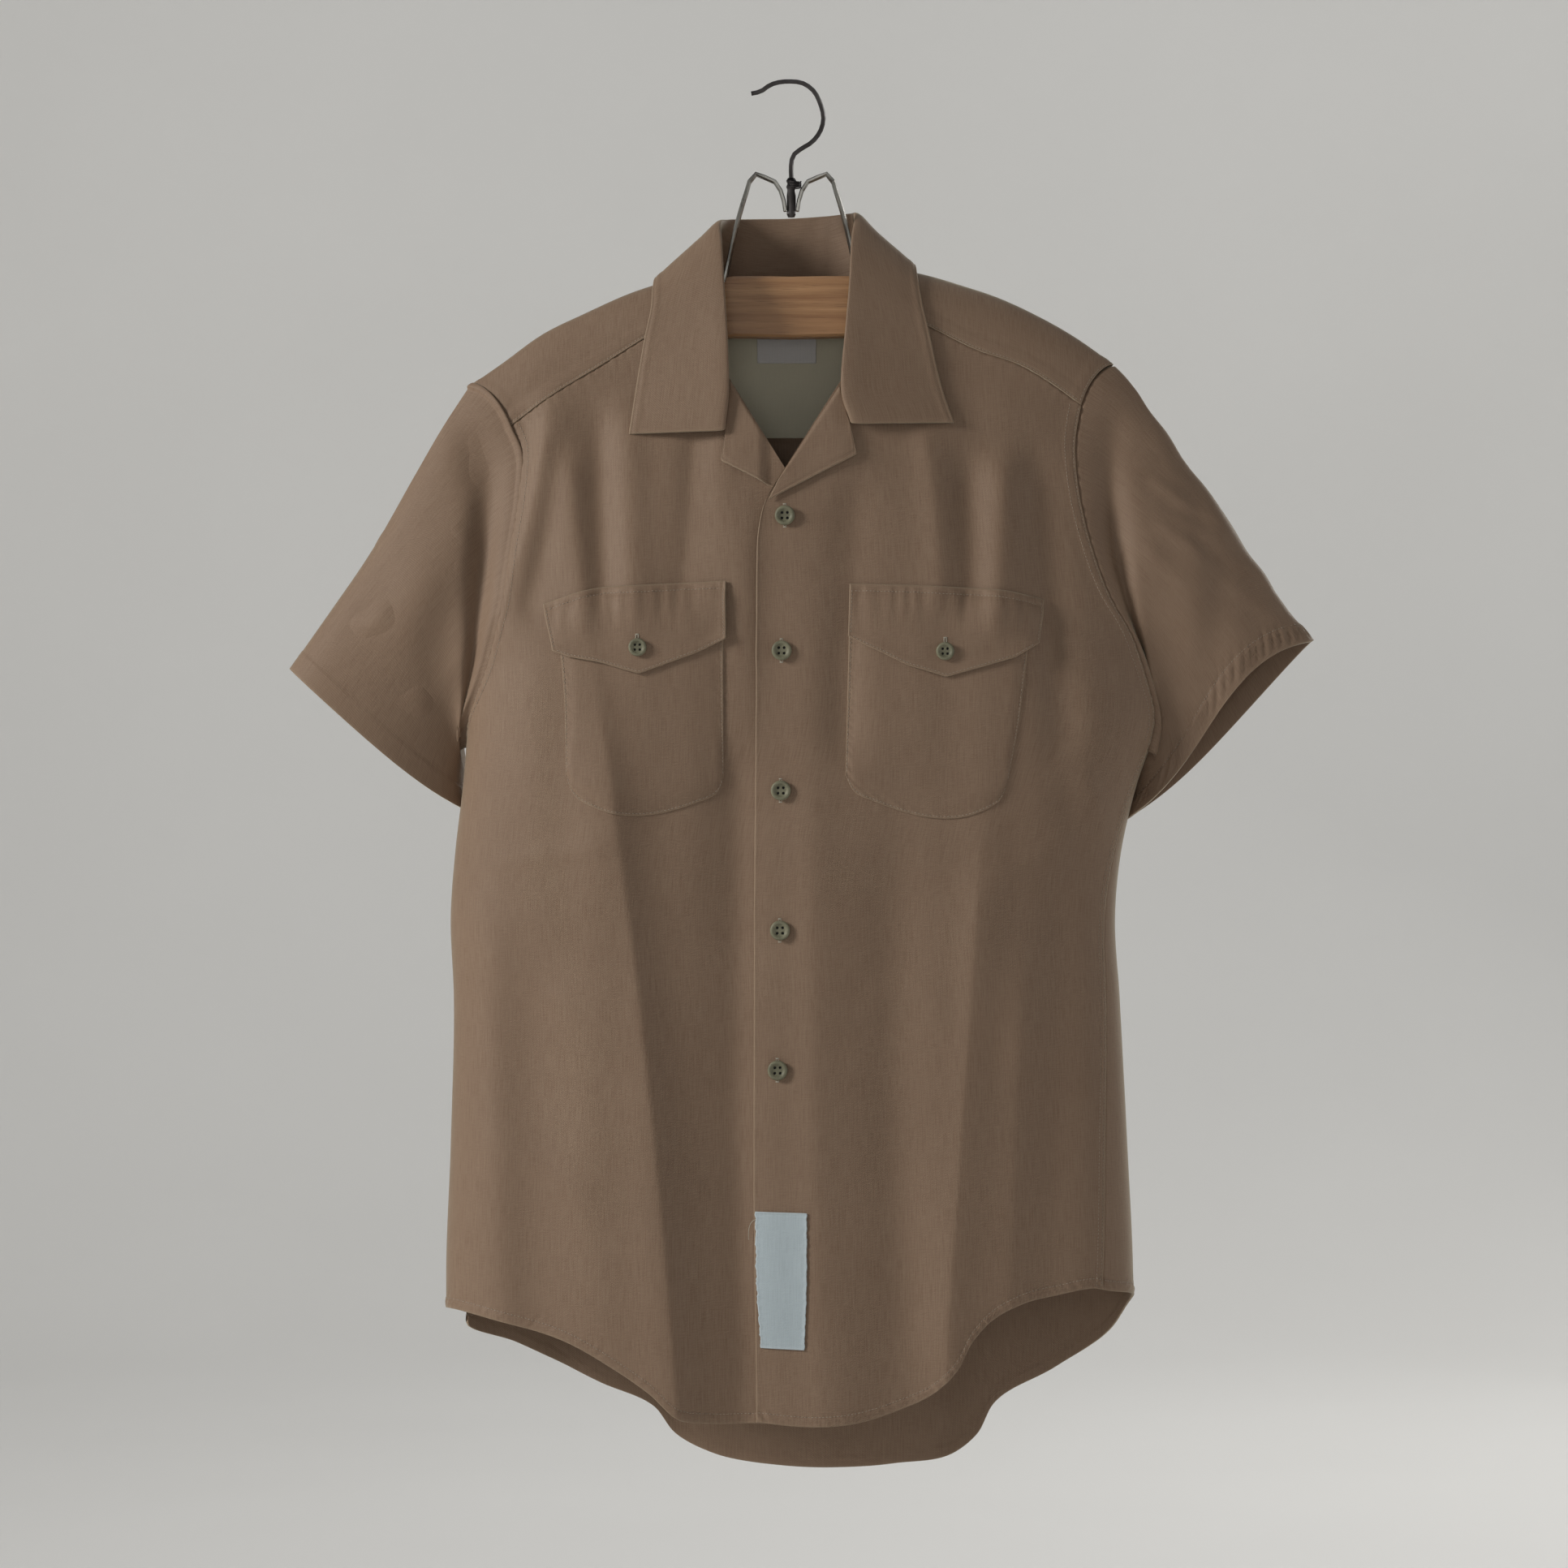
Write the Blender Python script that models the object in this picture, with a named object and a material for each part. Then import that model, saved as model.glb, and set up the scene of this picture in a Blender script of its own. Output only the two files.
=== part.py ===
"""A short-sleeved work shirt with an open collar, hanging on a wooden clamp hanger.

X runs to the viewer's right, Y away from the viewer and Z up. The origin is where the hook is held.
Sizes below are millimetres, and one factor at the end turns them into metres.
Every cloth piece is a wall on one body surface, so that neighbouring pieces share their seam lines.
"""

import math

import bpy
import numpy as np

METRE = 0.001

# Cloth
WALL = 1.0
SEAM = 0.2
SLEEVE_SEAM = 0.9
LAP_STEP = 1.9
LAP_EASE_FROM = 50.0
LAP_EASE = 20.0
LAID_GAP = 1.0
LABEL_WALL = 0.6
LABEL_SEAT = 0.4

# How many stretches each shared seam is cut into
ROLL_STEPS = 4
NECK_STEPS = 4
YOKE_STEPS = 9
BACK_STEPS = 20
CREST_STEPS = 6
ARMHOLE_STEPS = 9
SIDE_STEPS = 12

# Shape of the hung body
CREST_DEPTH = 15.0
NECK_DEPTH = 17.0
NECK_REACH = 65.0
CREST_ROUND = 30.0
CHEST_DROP = 260.0

# Steps for the direction of the body surface, round it, in height, across and over the shoulder
RING_STEP = 0.004
HEIGHT_STEP = 0.5
ACROSS_STEP = 0.5
OVER_STEP = 0.05

# Buttons
BUTTON_RADIUS = 6.5
BUTTON_THICKNESS = 2.8
POCKET_BUTTON_RADIUS = 5.9
BUTTON_SIDES = 12
BUTTON_GAP = 0.3

# Hanger
HOOK_WIRE = 1.5
CLAMP_WIRE = 1.3
WIRE_SIDES = 6
HOOK_STEPS = 28
CLAMP_STEPS = 16
SLAT_INNER = 1.0
SLAT_THICKNESS = 7.2
SLAT_HEIGHT = 40.0
SLAT_END_LOSS = 10.0
SLAT_HALF_LENGTH = 172.0
SLAT_DROP = 7.0
SLAT_END_DROP = 7.0
SLAT_CORNER = 1.6


def columns(names, rows):
    """A short table as one array for each named column."""
    return dict(zip(names.split(), np.array(rows, float).T))


# The body seen from the front and its depth: a row for each height, lowest first
BODY = columns("z left right front back", [
    (-930, -216, 219, 56, 52),
    (-793, -227, 225, 54, 50),
    (-698, -224, 221, 51, 47),
    (-602, -222, 216, 49, 45),
    (-547, -224, 213, 49, 44),
    (-506, -221, 217, 50, 44),
    (-463, -216, 227, 51, 44),
    (-423, -213, 240, 52, 44),
    (-367, -214, 240, 52, 43),
    (-300, -216, 234, 49, 41),
    (-200, -214, 224, 46, 38),
    (-100, -214, 222, 44, 36),
])

# The top of the shoulders from left to right
CREST = columns("x z", [
    (-250, -229), (-212, -200), (-190, -184.6), (-165, -166.4), (-136, -152), (-107, -139),
    (-80, -130), (-55, -122.5), (0, -121), (64, -122), (90, -127), (113, -133.8),
    (136, -141.5), (159, -152), (185, -166.4), (211, -184.6), (250, -214),
])

# Main folds: where each line starts, its middle and its end, its height, its two flanks and its edge
FOLDS = columns("front x_top z_top x_middle x_bottom z_bottom height left_flank right_flank sharp", [
    (1, -131, -372, -94, -74, -880, 11.0, 44, 23, 1.7),
    (1, -48, -330, -40, -36, -860, -5.0, 26, 26, 2.0),
    (1, 14, -430, 16, 20, -880, 3.5, 18, 34, 1.8),
    (1, 124, -480, 114, 103, -800, 5.0, 16, 24, 1.4),
    (1, 139, -240, 136, 132, -350, 3.5, 16, 16, 1.8),
    (1, -146, -240, -141, -134, -350, 4.0, 18, 16, 1.8),
    (1, 60, -500, 66, 72, -840, -3.0, 22, 22, 2.0),
    (1, 176, -500, 172, 168, -780, -3.5, 20, 18, 1.8),
    (1, -172, -560, -166, -160, -800, -3.0, 24, 22, 2.0),
    (0, -96, -300, -86, -78, -890, 6.0, 26, 34, 1.6),
    (0, 88, -300, 96, 104, -890, 6.0, 34, 24, 1.6),
    (0, 4, -260, 0, -6, -900, -5.0, 46, 46, 2.0),
    (0, 158, -420, 160, 164, -840, -4.0, 22, 22, 2.0),
    (0, -160, -420, -156, -152, -830, 4.0, 24, 18, 1.6),
])

# Side seams in the ring's own measure, where 1 is the right silhouette and -1 the left one
SIDE_RIGHT = [(0.775, -791), (0.81, -697), (0.84, -625), (0.88, -520), (0.94, -440)]
SIDE_LEFT = [(-1.20, -812), (-1.17, -700), (-1.13, -600), (-1.08, -500), (-1.05, -437)]

# Seams and edges as places in the front view
YOKE_FRONT_LEFT = [(-57, -150), (-96, -169.5), (-121, -185), (-157, -207), (-186, -228)]
YOKE_FRONT_RIGHT = [(56, -147), (92, -163), (121, -177), (152, -188), (169, -198), (190, -213)]
ARMHOLE_LEFT = [(-186, -228), (-179.5, -243), (-179.5, -271), (-185, -309), (-192, -355), (-203, -395)]
ARMHOLE_RIGHT = [(190, -213), (186, -237), (188, -270), (196, -307), (208.5, -341), (223, -367),
                 (233, -397), (237.5, -423)]
ARMHOLE_BACK_LEFT = [(-190, -232), (-184, -270), (-188, -310), (-197, -350), (-205, -395)]
ARMHOLE_BACK_RIGHT = [(192, -226), (190, -270), (199, -310), (212, -350), (228, -395)]
ROLL_LEFT = [(-3, -258), (-40, -198)]
ROLL_RIGHT = [(-9, -264), (32, -199)]
NECK_FRONT_LEFT = [(-40, -198), (-51, -172), (-57, -150)]
NECK_FRONT_RIGHT = [(32, -199), (48, -170), (56, -147)]
NECK_BACK = [(-57, -130), (-40, -134), (0, -137), (38, -134), (56, -129)]
YOKE_BACK = [(-190, -232), (-100, -233), (0, -233), (100, -231), (192, -226)]
PLACKET_EDGE = [(-22.6, -874.7), (-24.5, -720), (-24.5, -560), (-23.2, -400), (-21.6, -291),
                (-17.5, -279), (-9, -264)]
UNDER_EDGE = [(14, -877), (14, -700), (14, -500), (14, -330), (12, -292), (-3, -258)]
HEM_LEFT = [(14, -877.5), (-23, -876), (-50, -876), (-70, -873), (-92, -855), (-113, -841),
            (-144, -824), (-181, -813), (-214, -806)]
HEM_RIGHT = [(-22.6, -874.7), (13, -877), (45, -874), (66, -868), (92, -856), (106, -842),
             (118, -821), (131, -808), (150, -798.5), (171, -794), (200, -790.5)]
HEM_BACK = [(222, -806), (212, -824), (177, -851), (136, -877), (124, -899), (108, -912),
            (70, -918), (-8, -918), (-52, -911), (-78, -898), (-92, -880), (-128, -863),
            (-183, -835), (-215, -818)]

# Sleeves: the outer line from the shoulder to the hem, the line under the arm, the rise of the front hem
SLEEVE_TOP_LEFT = [(-212, -200), (-229, -226), (-247, -257), (-278, -311), (-304, -349), (-330, -386)]
SLEEVE_TOP_RIGHT = [(212, -186), (226, -200), (239, -220), (272, -266), (311, -323), (343, -368)]
SLEEVE_UNDER_LEFT = [(-214, -437), (-221, -456), (-226, -480)]
SLEEVE_UNDER_RIGHT = [(237, -440), (238.5, -462), (236, -489)]
SLEEVE_ROWS = [0, 0.07, 0.16, 0.3, 0.48, 0.68, 0.85, 1]
SLEEVE_DEPTH = 23.0
SLEEVE_VALLEY = 9.0
SLEEVE_RIDGE = 5.0
# How far the underside keeps away from the body, and what brings the curve of that to 1 at its highest
SLEEVE_CLEAR = 10.0
SLEEVE_CLEAR_PEAK = 1.9
# How far the underside lies behind the body's outline, backward and inward, and by which row it does
UNDER_BACK = 18.0
UNDER_IN = {"left": 8.0, "right": 16.0}
UNDER_ROWS = 0.5

# Pockets and flaps, each as four sides in the front view
POCKET_LEFT = dict(
    top=[(-152.5, -350), (-44, -350)],
    bottom=[(-145.6, -456), (-141, -468), (-125, -478), (-62, -474), (-48, -467), (-44, -457)],
    left=[(-152.5, -350), (-147, -405), (-145.6, -456)],
    right=[(-44, -350), (-44, -457)],
)
POCKET_RIGHT = dict(
    top=[(37.6, -350), (155.4, -350)],
    bottom=[(35, -456), (40, -466), (56, -474), (122, -480), (135, -472), (140, -460)],
    left=[(37.6, -350), (35, -456)],
    right=[(155.4, -350), (146.5, -425), (140, -460)],
)
FLAP_LEFT = dict(
    top=[(-160.8, -345), (-130, -335.5), (-96, -333), (-42, -330.3)],
    bottom=[(-154, -376), (-143.6, -380), (-122, -384), (-98.5, -390.5), (-62, -377), (-41.5, -367.5)],
    left=[(-160.8, -345), (-154, -376)],
    right=[(-42, -330.3), (-41.5, -367.5)],
)
FLAP_RIGHT = dict(
    top=[(37.6, -332), (109, -334.5), (138, -336.6), (163.2, -342)],
    bottom=[(36.5, -366), (75, -385), (100, -392.6), (121, -387), (145, -380), (158.5, -371)],
    left=[(37.6, -332), (36.5, -366)],
    right=[(163.2, -342), (158.5, -371)],
)
FLAP_TOP_GAP = 0.8
FLAP_LIFT = 1.9
FLAP_LIFT_DROP = 12.0

# Lapels: the turned-back facings
LAPEL_LEFT = dict(
    top=[(-39.5, -199), (-8, -252)],
    bottom=[(-42.5, -233), (-45, -252), (-20, -264)],
    left=[(-39.5, -199), (-42.5, -233)],
    right=[(-8, -252), (-20, -264)],
)
LAPEL_RIGHT = dict(
    top=[(-8, -263), (31, -203)],
    bottom=[(-15, -277.5), (42, -247.5), (38, -229)],
    left=[(-8, -263), (-15, -277.5)],
    right=[(31, -203), (38, -229)],
)
LAPEL_LIFT = 2.4

# Collar: seam at the neck, the line it rolls on and its free edge, from the left point to the right one
COLLAR = columns("nx ny nz rx ry rz ex ey ez", [
    (-47.5, -36.4, -230, -43.7, -40.5, -231.5, -106, -29.6, -233.5),
    (-43.5, -32.6, -205, -41.3, -38.0, -202, -101, -25.5, -200),
    (-49.0, -29.6, -172, -42.7, -32.5, -162, -96, -22.4, -170),
    (-55.5, -25.0, -148, -44.5, -26.0, -134, -92, -20.5, -151),
    (-60.0, -15.5, -128, -46.0, -14.0, -108, -91, -13.5, -137),
    (-61.5, 0.0, -118.5, -47.0, 0.0, -92, -88.5, 0.0, -129),
    (-56.0, 17.0, -126, -42.0, 17.0, -88, -78, 20.5, -143),
    (-32.0, 26.5, -133, -26.0, 29.5, -86, -46, 33.5, -150),
    (0.0, 29.5, -135, -1.0, 34.0, -85, 0, 38.0, -151),
    (31.0, 26.5, -133, 24.0, 29.5, -84, 46, 33.5, -149),
    (55.0, 17.0, -125, 39.0, 17.0, -84, 76, 20.5, -138),
    (60.5, 0.0, -117.5, 42.5, 0.0, -87, 81, 0.0, -120.5),
    (59.0, -15.5, -127, 40.0, -14.0, -104, 83, -14.0, -131),
    (54.0, -25.0, -147, 38.5, -26.0, -131, 86, -20.5, -149),
    (46.0, -29.6, -172, 36.0, -32.5, -161, 90, -22.6, -166),
    (35.5, -34.6, -207, 33.0, -39.6, -203, 97.5, -25.6, -200),
    (43.0, -36.6, -225, 39.2, -40.6, -227, 106, -29.0, -226),
])
COLLAR_STATIONS = 28
COLLAR_LEAF_STEPS = 4
COLLAR_FOLD = 3.0
COLLAR_FOLD_HALF = 1.4
COLLAR_WALL = 1.0

# Fastenings
FRONT_BUTTONS = [(-4.3, -287.4), (-6.4, -375.3), (-6.9, -465.9), (-7.4, -556.5), (-9.0, -647.0)]
POCKET_BUTTONS = {"left": (-99.5, -373.3), "right": (99.3, -375.9)}

# Labels: left, right, top, bottom
NECK_LABEL = (-23.2, 16.8, -165.4, -181.6)
PATCH_LABEL = (-23.1, 10.4, -738.1, -826.6)
LINING = (-98, 98, -147, -231)

# Hook and clamp wires
HOOK_LINE = [(-26.4, 0, -6.5), (-20.5, 0, -5.2), (-13.5, 0, -0.6), (-7.5, 0, 1.1), (0, 0, 1.5),
             (7.5, 0, 0.4), (14.4, 0, -4.4), (19.3, 0, -13.7), (21.2, 0, -22.5), (19.3, 0, -30.9),
             (13.7, 0, -38.4), (5.5, 0, -43.6), (1.2, 0, -47.5), (0, 0, -53), (0, 0, -62)]
FERRULE = columns("z radius", [
    (-62.3, 2.4), (-64, 3.4), (-66, 2.6), (-68, 3.4), (-70, 2.6), (-74, 3.0), (-86, 3.0), (-88, 2.2),
])
CLAMP_LINE = columns("x y z", [
    (-3.9, -2.2, -84), (-6.4, -2.6, -72), (-10.5, -2.6, -65), (-17, -2.8, -62), (-22, -3.0, -59.2),
    (-26, -3.6, -62), (-29.4, -4.6, -71), (-34, -6.6, -86), (-38.5, -8.8, -104), (-42, -9.9, -121),
    (-44.5, -9.9, -132),
])


def smooth(at, xs, ys):
    """Cubic curve through a table, each slope taken from the neighbouring rows."""
    slopes = np.gradient(ys, xs)
    row = np.clip(np.searchsorted(xs, at) - 1, 0, len(xs) - 2)
    step = xs[row + 1] - xs[row]
    t = np.clip((at - xs[row]) / step, 0, 1)
    start = (2 * t**3 - 3 * t**2 + 1) * ys[row] + (t**3 - 2 * t**2 + t) * step * slopes[row]
    end = (3 * t**2 - 2 * t**3) * ys[row + 1] + (t**3 - t**2) * step * slopes[row + 1]
    return start + end


def soft_step(t):
    t = np.clip(t, 0, 1)
    return t * t * (3 - 2 * t)


def lengths(points):
    steps = np.linalg.norm(np.diff(points, axis=0), axis=1)
    return np.concatenate([[0], np.cumsum(steps)])


def curve(points, count, rounded=True):
    """count + 1 evenly spaced points along a curve, or along straight lines, through the given points."""
    points = np.array(points, float)
    run = lengths(points)
    fine = np.linspace(0, run[-1], 60 * len(points))
    rule = smooth if rounded and len(points) > 2 else np.interp
    dense = np.stack([rule(fine, run, column) for column in points.T], axis=1)
    along = lengths(dense)
    at = np.interp(np.linspace(0, along[-1], count + 1), along, fine)
    return np.stack([rule(at, run, column) for column in points.T], axis=1)


def coons(bottom, top, left, right):
    """Grid filled in between four edges: the two ruled surfaces added, less the one through the corners."""
    u = np.linspace(0, 1, len(bottom))[:, None, None]
    v = np.linspace(0, 1, len(left))[None, :, None]
    ruled = (1 - v) * bottom[:, None] + v * top[:, None] + (1 - u) * left[None] + u * right[None]
    corners = (1 - u) * ((1 - v) * bottom[0] + v * top[0]) + u * ((1 - v) * bottom[-1] + v * top[-1])
    return ruled - corners


def crest(x):
    return smooth(x, CREST["x"], CREST["z"])


def middle(z):
    return (smooth(z, BODY["z"], BODY["left"]) + smooth(z, BODY["z"], BODY["right"])) / 2


def half_width(z):
    return (smooth(z, BODY["z"], BODY["right"]) - smooth(z, BODY["z"], BODY["left"])) / 2


def across(ring):
    """Place across the body, -1 to 1, of a place round it: it turns back at each silhouette."""
    ring = (ring + 1) % 4 - 1
    ring = np.where(ring > 1, 2 - ring, ring)
    return ring * (5 - ring**4) / 4


def on_front(ring):
    return (ring + 1) % 4 - 1 <= 1


def ring_of(x, z, front=True):
    """Place round the body of a point in the front view."""
    table = np.linspace(-1, 1, 400)
    ring = np.interp((x - middle(z)) / half_width(z), across(table), table)
    return ring if front else 2 - ring


def fold_height(x, z, front):
    """Sum of the folds: each runs along its own bent line and dies away on its two flanks and its ends."""
    total = np.zeros_like(x)
    for row in range(len(FOLDS["front"])):
        fold = {name: column[row] for name, column in FOLDS.items()}
        along = (z - fold["z_top"]) / (fold["z_bottom"] - fold["z_top"])
        t = np.clip(along, 0, 1)
        bend = fold["x_middle"] - (fold["x_top"] + fold["x_bottom"]) / 2
        line = fold["x_top"] + (fold["x_bottom"] - fold["x_top"]) * t + bend * 4 * t * (1 - t)
        away = x - line
        flank = np.where(away < 0, fold["left_flank"], fold["right_flank"])
        shape = np.exp(-(np.abs(away) / flank) ** fold["sharp"])
        ends = soft_step((along + 0.05) / 0.3) * soft_step((1.25 - along) / 0.25)
        total += np.where(front == bool(fold["front"]), 1, 0) * fold["height"] * shape * ends
    return total


def body_y(x, z, front):
    """Depth of the body surface: round over the crest, fuller to the chest, and round to each side."""
    drop = np.maximum(crest(x) - z, 0)
    top_depth = CREST_DEPTH + NECK_DEPTH * np.exp(-((x / NECK_REACH) ** 2))
    round_top = np.sqrt(1 - (1 - np.minimum(drop / CREST_ROUND, 1)) ** 2)
    full = np.where(front, smooth(z, BODY["z"], BODY["front"]), smooth(z, BODY["z"], BODY["back"]))
    depth = top_depth * round_top + (full - top_depth) * soft_step(drop / CHEST_DROP)
    place = np.clip((x - middle(z)) / half_width(z), -1, 1)
    side = np.sqrt(1 - place**2) * (1 + 0.5 * place**2)
    depth = depth * side + fold_height(x, z, front) * (1 - place**6)
    return np.where(front, -depth, depth)


def body_ring(ring, z):
    """Point of the body surface from its place round the body and its height."""
    place = across(ring)
    x = middle(z) + half_width(z) * place
    return np.stack([x, body_y(x, z, on_front(ring)), z], axis=-1)


def body_face(x, z, front=True):
    return np.stack([x, body_y(x, z, np.full(np.shape(x), front)), z], axis=-1)


def body_over(x, over):
    """Point near the crest: over runs from the front through nothing at the crest to the back."""
    z = crest(x) - over**2
    return np.stack([x, body_y(x, z, over < 0), z], axis=-1)


def to_ring(points, front=True):
    points = np.array(points, float)
    return np.stack([ring_of(points[:, 0], points[:, 1], front), points[:, 1]], axis=1)


def ring_curve(points, count):
    """Even points on a curve in the ring's measure, with width weighed as half the body."""
    weight = np.array([220.0, 1.0])
    return curve(np.array(points) * weight, count) / weight


def to_over(points, front):
    points = np.array(points, float)
    drop = np.sqrt(np.maximum(crest(points[:, 0]) - points[:, 1], 0))
    return np.stack([points[:, 0], -drop if front else drop], axis=1)


def over_curve(points, count):
    weight = np.array([1.0, 12.0])
    return curve(np.array(points) * weight, count) / weight


def drawn_in(grid, first_u=0.0, last_u=0.0, first_v=0.0, last_v=0.0):
    """The grid with its named sides stopped short of their seam lines."""
    grid = grid.copy()
    for edge, inner, gap in ((0, 1, first_u), (-1, -2, last_u)):
        step = grid[inner] - grid[edge]
        grid[edge] += step / np.linalg.norm(step, axis=-1, keepdims=True) * gap
    for edge, inner, gap in ((0, 1, first_v), (-1, -2, last_v)):
        step = grid[:, inner] - grid[:, edge]
        grid[:, edge] += step / np.linalg.norm(step, axis=-1, keepdims=True) * gap
    return grid


def unit(vectors):
    return vectors / np.linalg.norm(vectors, axis=-1, keepdims=True)


def surface_normals(place, u, v, step_u, step_v):
    """Directions square to a surface, from small steps along its two measures."""
    along_u = place(u + step_u, v) - place(u - step_u, v)
    along_v = place(u, v + step_v) - place(u, v - step_v)
    return unit(np.cross(along_u, along_v))


def ring_normals(ring, z):
    return surface_normals(body_ring, ring, z, RING_STEP, HEIGHT_STEP)


def face_normals(x, z, front):
    """Outward directions of the body surface at places in the front view."""
    return ring_normals(ring_of(x, z, front), z)


def grid_normals(grid, around):
    """Directions square to a grid of points, from its own neighbours."""
    if around:
        along_u = np.roll(grid, -1, axis=0) - np.roll(grid, 1, axis=0)
    else:
        along_u = np.gradient(grid, axis=0)
    return unit(np.cross(along_u, np.gradient(grid, axis=1)))


def material(name, colour, roughness, metallic=0.0):
    found = bpy.data.materials.get(name)
    if found:
        return found
    made = bpy.data.materials.new(name)
    made.use_nodes = True
    shader = made.node_tree.nodes["Principled BSDF"]
    shader.inputs["Base Color"].default_value = (*colour, 1)
    shader.inputs["Roughness"].default_value = roughness
    shader.inputs["Metallic"].default_value = metallic
    made.diffuse_color = (*colour, 1)
    return made


def twill():
    return material("twill", (0.18, 0.125, 0.09), 0.85)


def lining_cloth():
    return material("lining_cloth", (0.13, 0.125, 0.08), 0.9)


def label_cloth():
    return material("label_cloth", (0.62, 0.66, 0.7), 0.8)


def button_plastic():
    return material("button_plastic", (0.16, 0.155, 0.11), 0.4)


def beech():
    return material("beech", (0.42, 0.2, 0.08), 0.5)


def nickel_wire():
    return material("nickel_wire", (0.6, 0.58, 0.55), 0.3, 1.0)


def dark_wire():
    return material("dark_wire", (0.09, 0.08, 0.08), 0.45, 1.0)


def add_solid(name, points, faces, finish):
    """One closed body with its faces out, from points in millimetres."""
    corners = [points[list(face)] for face in faces]
    volume = sum(
        np.dot(corner[0], np.cross(corner[i], corner[i + 1]))
        for corner in corners
        for i in range(1, len(corner) - 1)
    )
    if volume < 0:
        faces = [tuple(reversed(face)) for face in faces]
    mesh = bpy.data.meshes.new(name)
    mesh.from_pydata((points * METRE).tolist(), [], [tuple(int(i) for i in face) for face in faces])
    mesh.materials.append(finish)
    mesh.validate()
    mesh.shade_smooth()
    mesh.set_sharp_from_angle(angle=math.radians(40))
    solid = bpy.data.objects.new(name, mesh)
    bpy.context.scene.collection.objects.link(solid)
    return solid


def add_wall(name, grid, finish, thickness=WALL, lift=0.0, normal=None, around=False):
    """A cloth wall round a grid: an outer skin, an inner skin and the rim that joins them."""
    if normal is None:
        normal = grid_normals(grid, around)
    lift = np.broadcast_to(lift, grid.shape[:2])[..., None]
    outer = grid + normal * (lift + thickness / 2)
    inner = grid + normal * (lift - thickness / 2)
    count_u, count_v = grid.shape[:2]
    points = np.concatenate([outer.reshape(-1, 3), inner.reshape(-1, 3)])
    number = np.arange(count_u * count_v).reshape(count_u, count_v)
    back = number + count_u * count_v
    spans = count_u if around else count_u - 1
    faces = []
    for i in range(spans):
        k = (i + 1) % count_u
        for j in range(count_v - 1):
            faces.append((number[i, j], number[k, j], number[k, j + 1], number[i, j + 1]))
            faces.append((back[i, j], back[i, j + 1], back[k, j + 1], back[k, j]))
        faces.append((number[i, 0], back[i, 0], back[k, 0], number[k, 0]))
        faces.append((number[i, -1], number[k, -1], back[k, -1], back[i, -1]))
    if not around:
        for j in range(count_v - 1):
            faces.append((number[0, j], number[0, j + 1], back[0, j + 1], back[0, j]))
            faces.append((number[-1, j], back[-1, j], back[-1, j + 1], number[-1, j + 1]))
    return add_solid(name, points, faces, finish)


def add_rings(name, rings, finish):
    """A solid through closed rings, with a flat cap at each end."""
    count, sides = rings.shape[:2]
    number = np.arange(count * sides).reshape(count, sides)
    faces = [tuple(number[0]), tuple(number[-1][::-1])]
    for i in range(count - 1):
        for j in range(sides):
            k = (j + 1) % sides
            faces.append((number[i, j], number[i + 1, j], number[i + 1, k], number[i, k]))
    return add_solid(name, rings.reshape(-1, 3), faces, finish)


def add_wire(name, line, radius, finish):
    """A round wire along a line that stays near one upright plane."""
    along = np.gradient(line, axis=0)
    along /= np.linalg.norm(along, axis=1, keepdims=True)
    level = np.cross(along, np.array([0.0, 1.0, 0.0]))
    level /= np.linalg.norm(level, axis=1, keepdims=True)
    other = np.cross(along, level)
    turn = np.linspace(0, 2 * math.pi, WIRE_SIDES, endpoint=False)[None, :, None]
    rings = line[:, None] + radius * (np.cos(turn) * level[:, None] + np.sin(turn) * other[:, None])
    return add_rings(name, rings, finish)


class Seams:
    """The shared seam lines, each worked out once and used by both of its pieces."""

    def __init__(self):
        self.side = {
            "left": ring_curve(SIDE_LEFT, SIDE_STEPS),
            "right": ring_curve(SIDE_RIGHT, SIDE_STEPS),
        }
        self.armhole_front = {
            "left": ring_curve(np.vstack([to_ring(ARMHOLE_LEFT), SIDE_LEFT[-1]]), ARMHOLE_STEPS),
            "right": ring_curve(np.vstack([to_ring(ARMHOLE_RIGHT), SIDE_RIGHT[-1]]), ARMHOLE_STEPS),
        }
        left_under = (SIDE_LEFT[-1][0] + 4, SIDE_LEFT[-1][1])
        right_under = SIDE_RIGHT[-1]
        self.armhole_back = {
            "left": ring_curve(np.vstack([to_ring(ARMHOLE_BACK_LEFT, False), left_under]), ARMHOLE_STEPS),
            "right": ring_curve(np.vstack([to_ring(ARMHOLE_BACK_RIGHT, False), right_under]), ARMHOLE_STEPS),
        }
        self.yoke_front = {
            "left": curve(YOKE_FRONT_LEFT, YOKE_STEPS),
            "right": curve(YOKE_FRONT_RIGHT, YOKE_STEPS),
        }
        self.yoke_back = curve(YOKE_BACK, BACK_STEPS)
        self.armhole_over = {
            "left": self.over_shoulder(YOKE_FRONT_LEFT[-1], (-212.0, 0.0), YOKE_BACK[0]),
            "right": self.over_shoulder(YOKE_FRONT_RIGHT[-1], (212.0, 0.0), YOKE_BACK[-1]),
        }

    def over_shoulder(self, front, top, back):
        start = to_over([front], True)[0]
        end = to_over([back], False)[0]
        return over_curve([start, top, end], CREST_STEPS)


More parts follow.
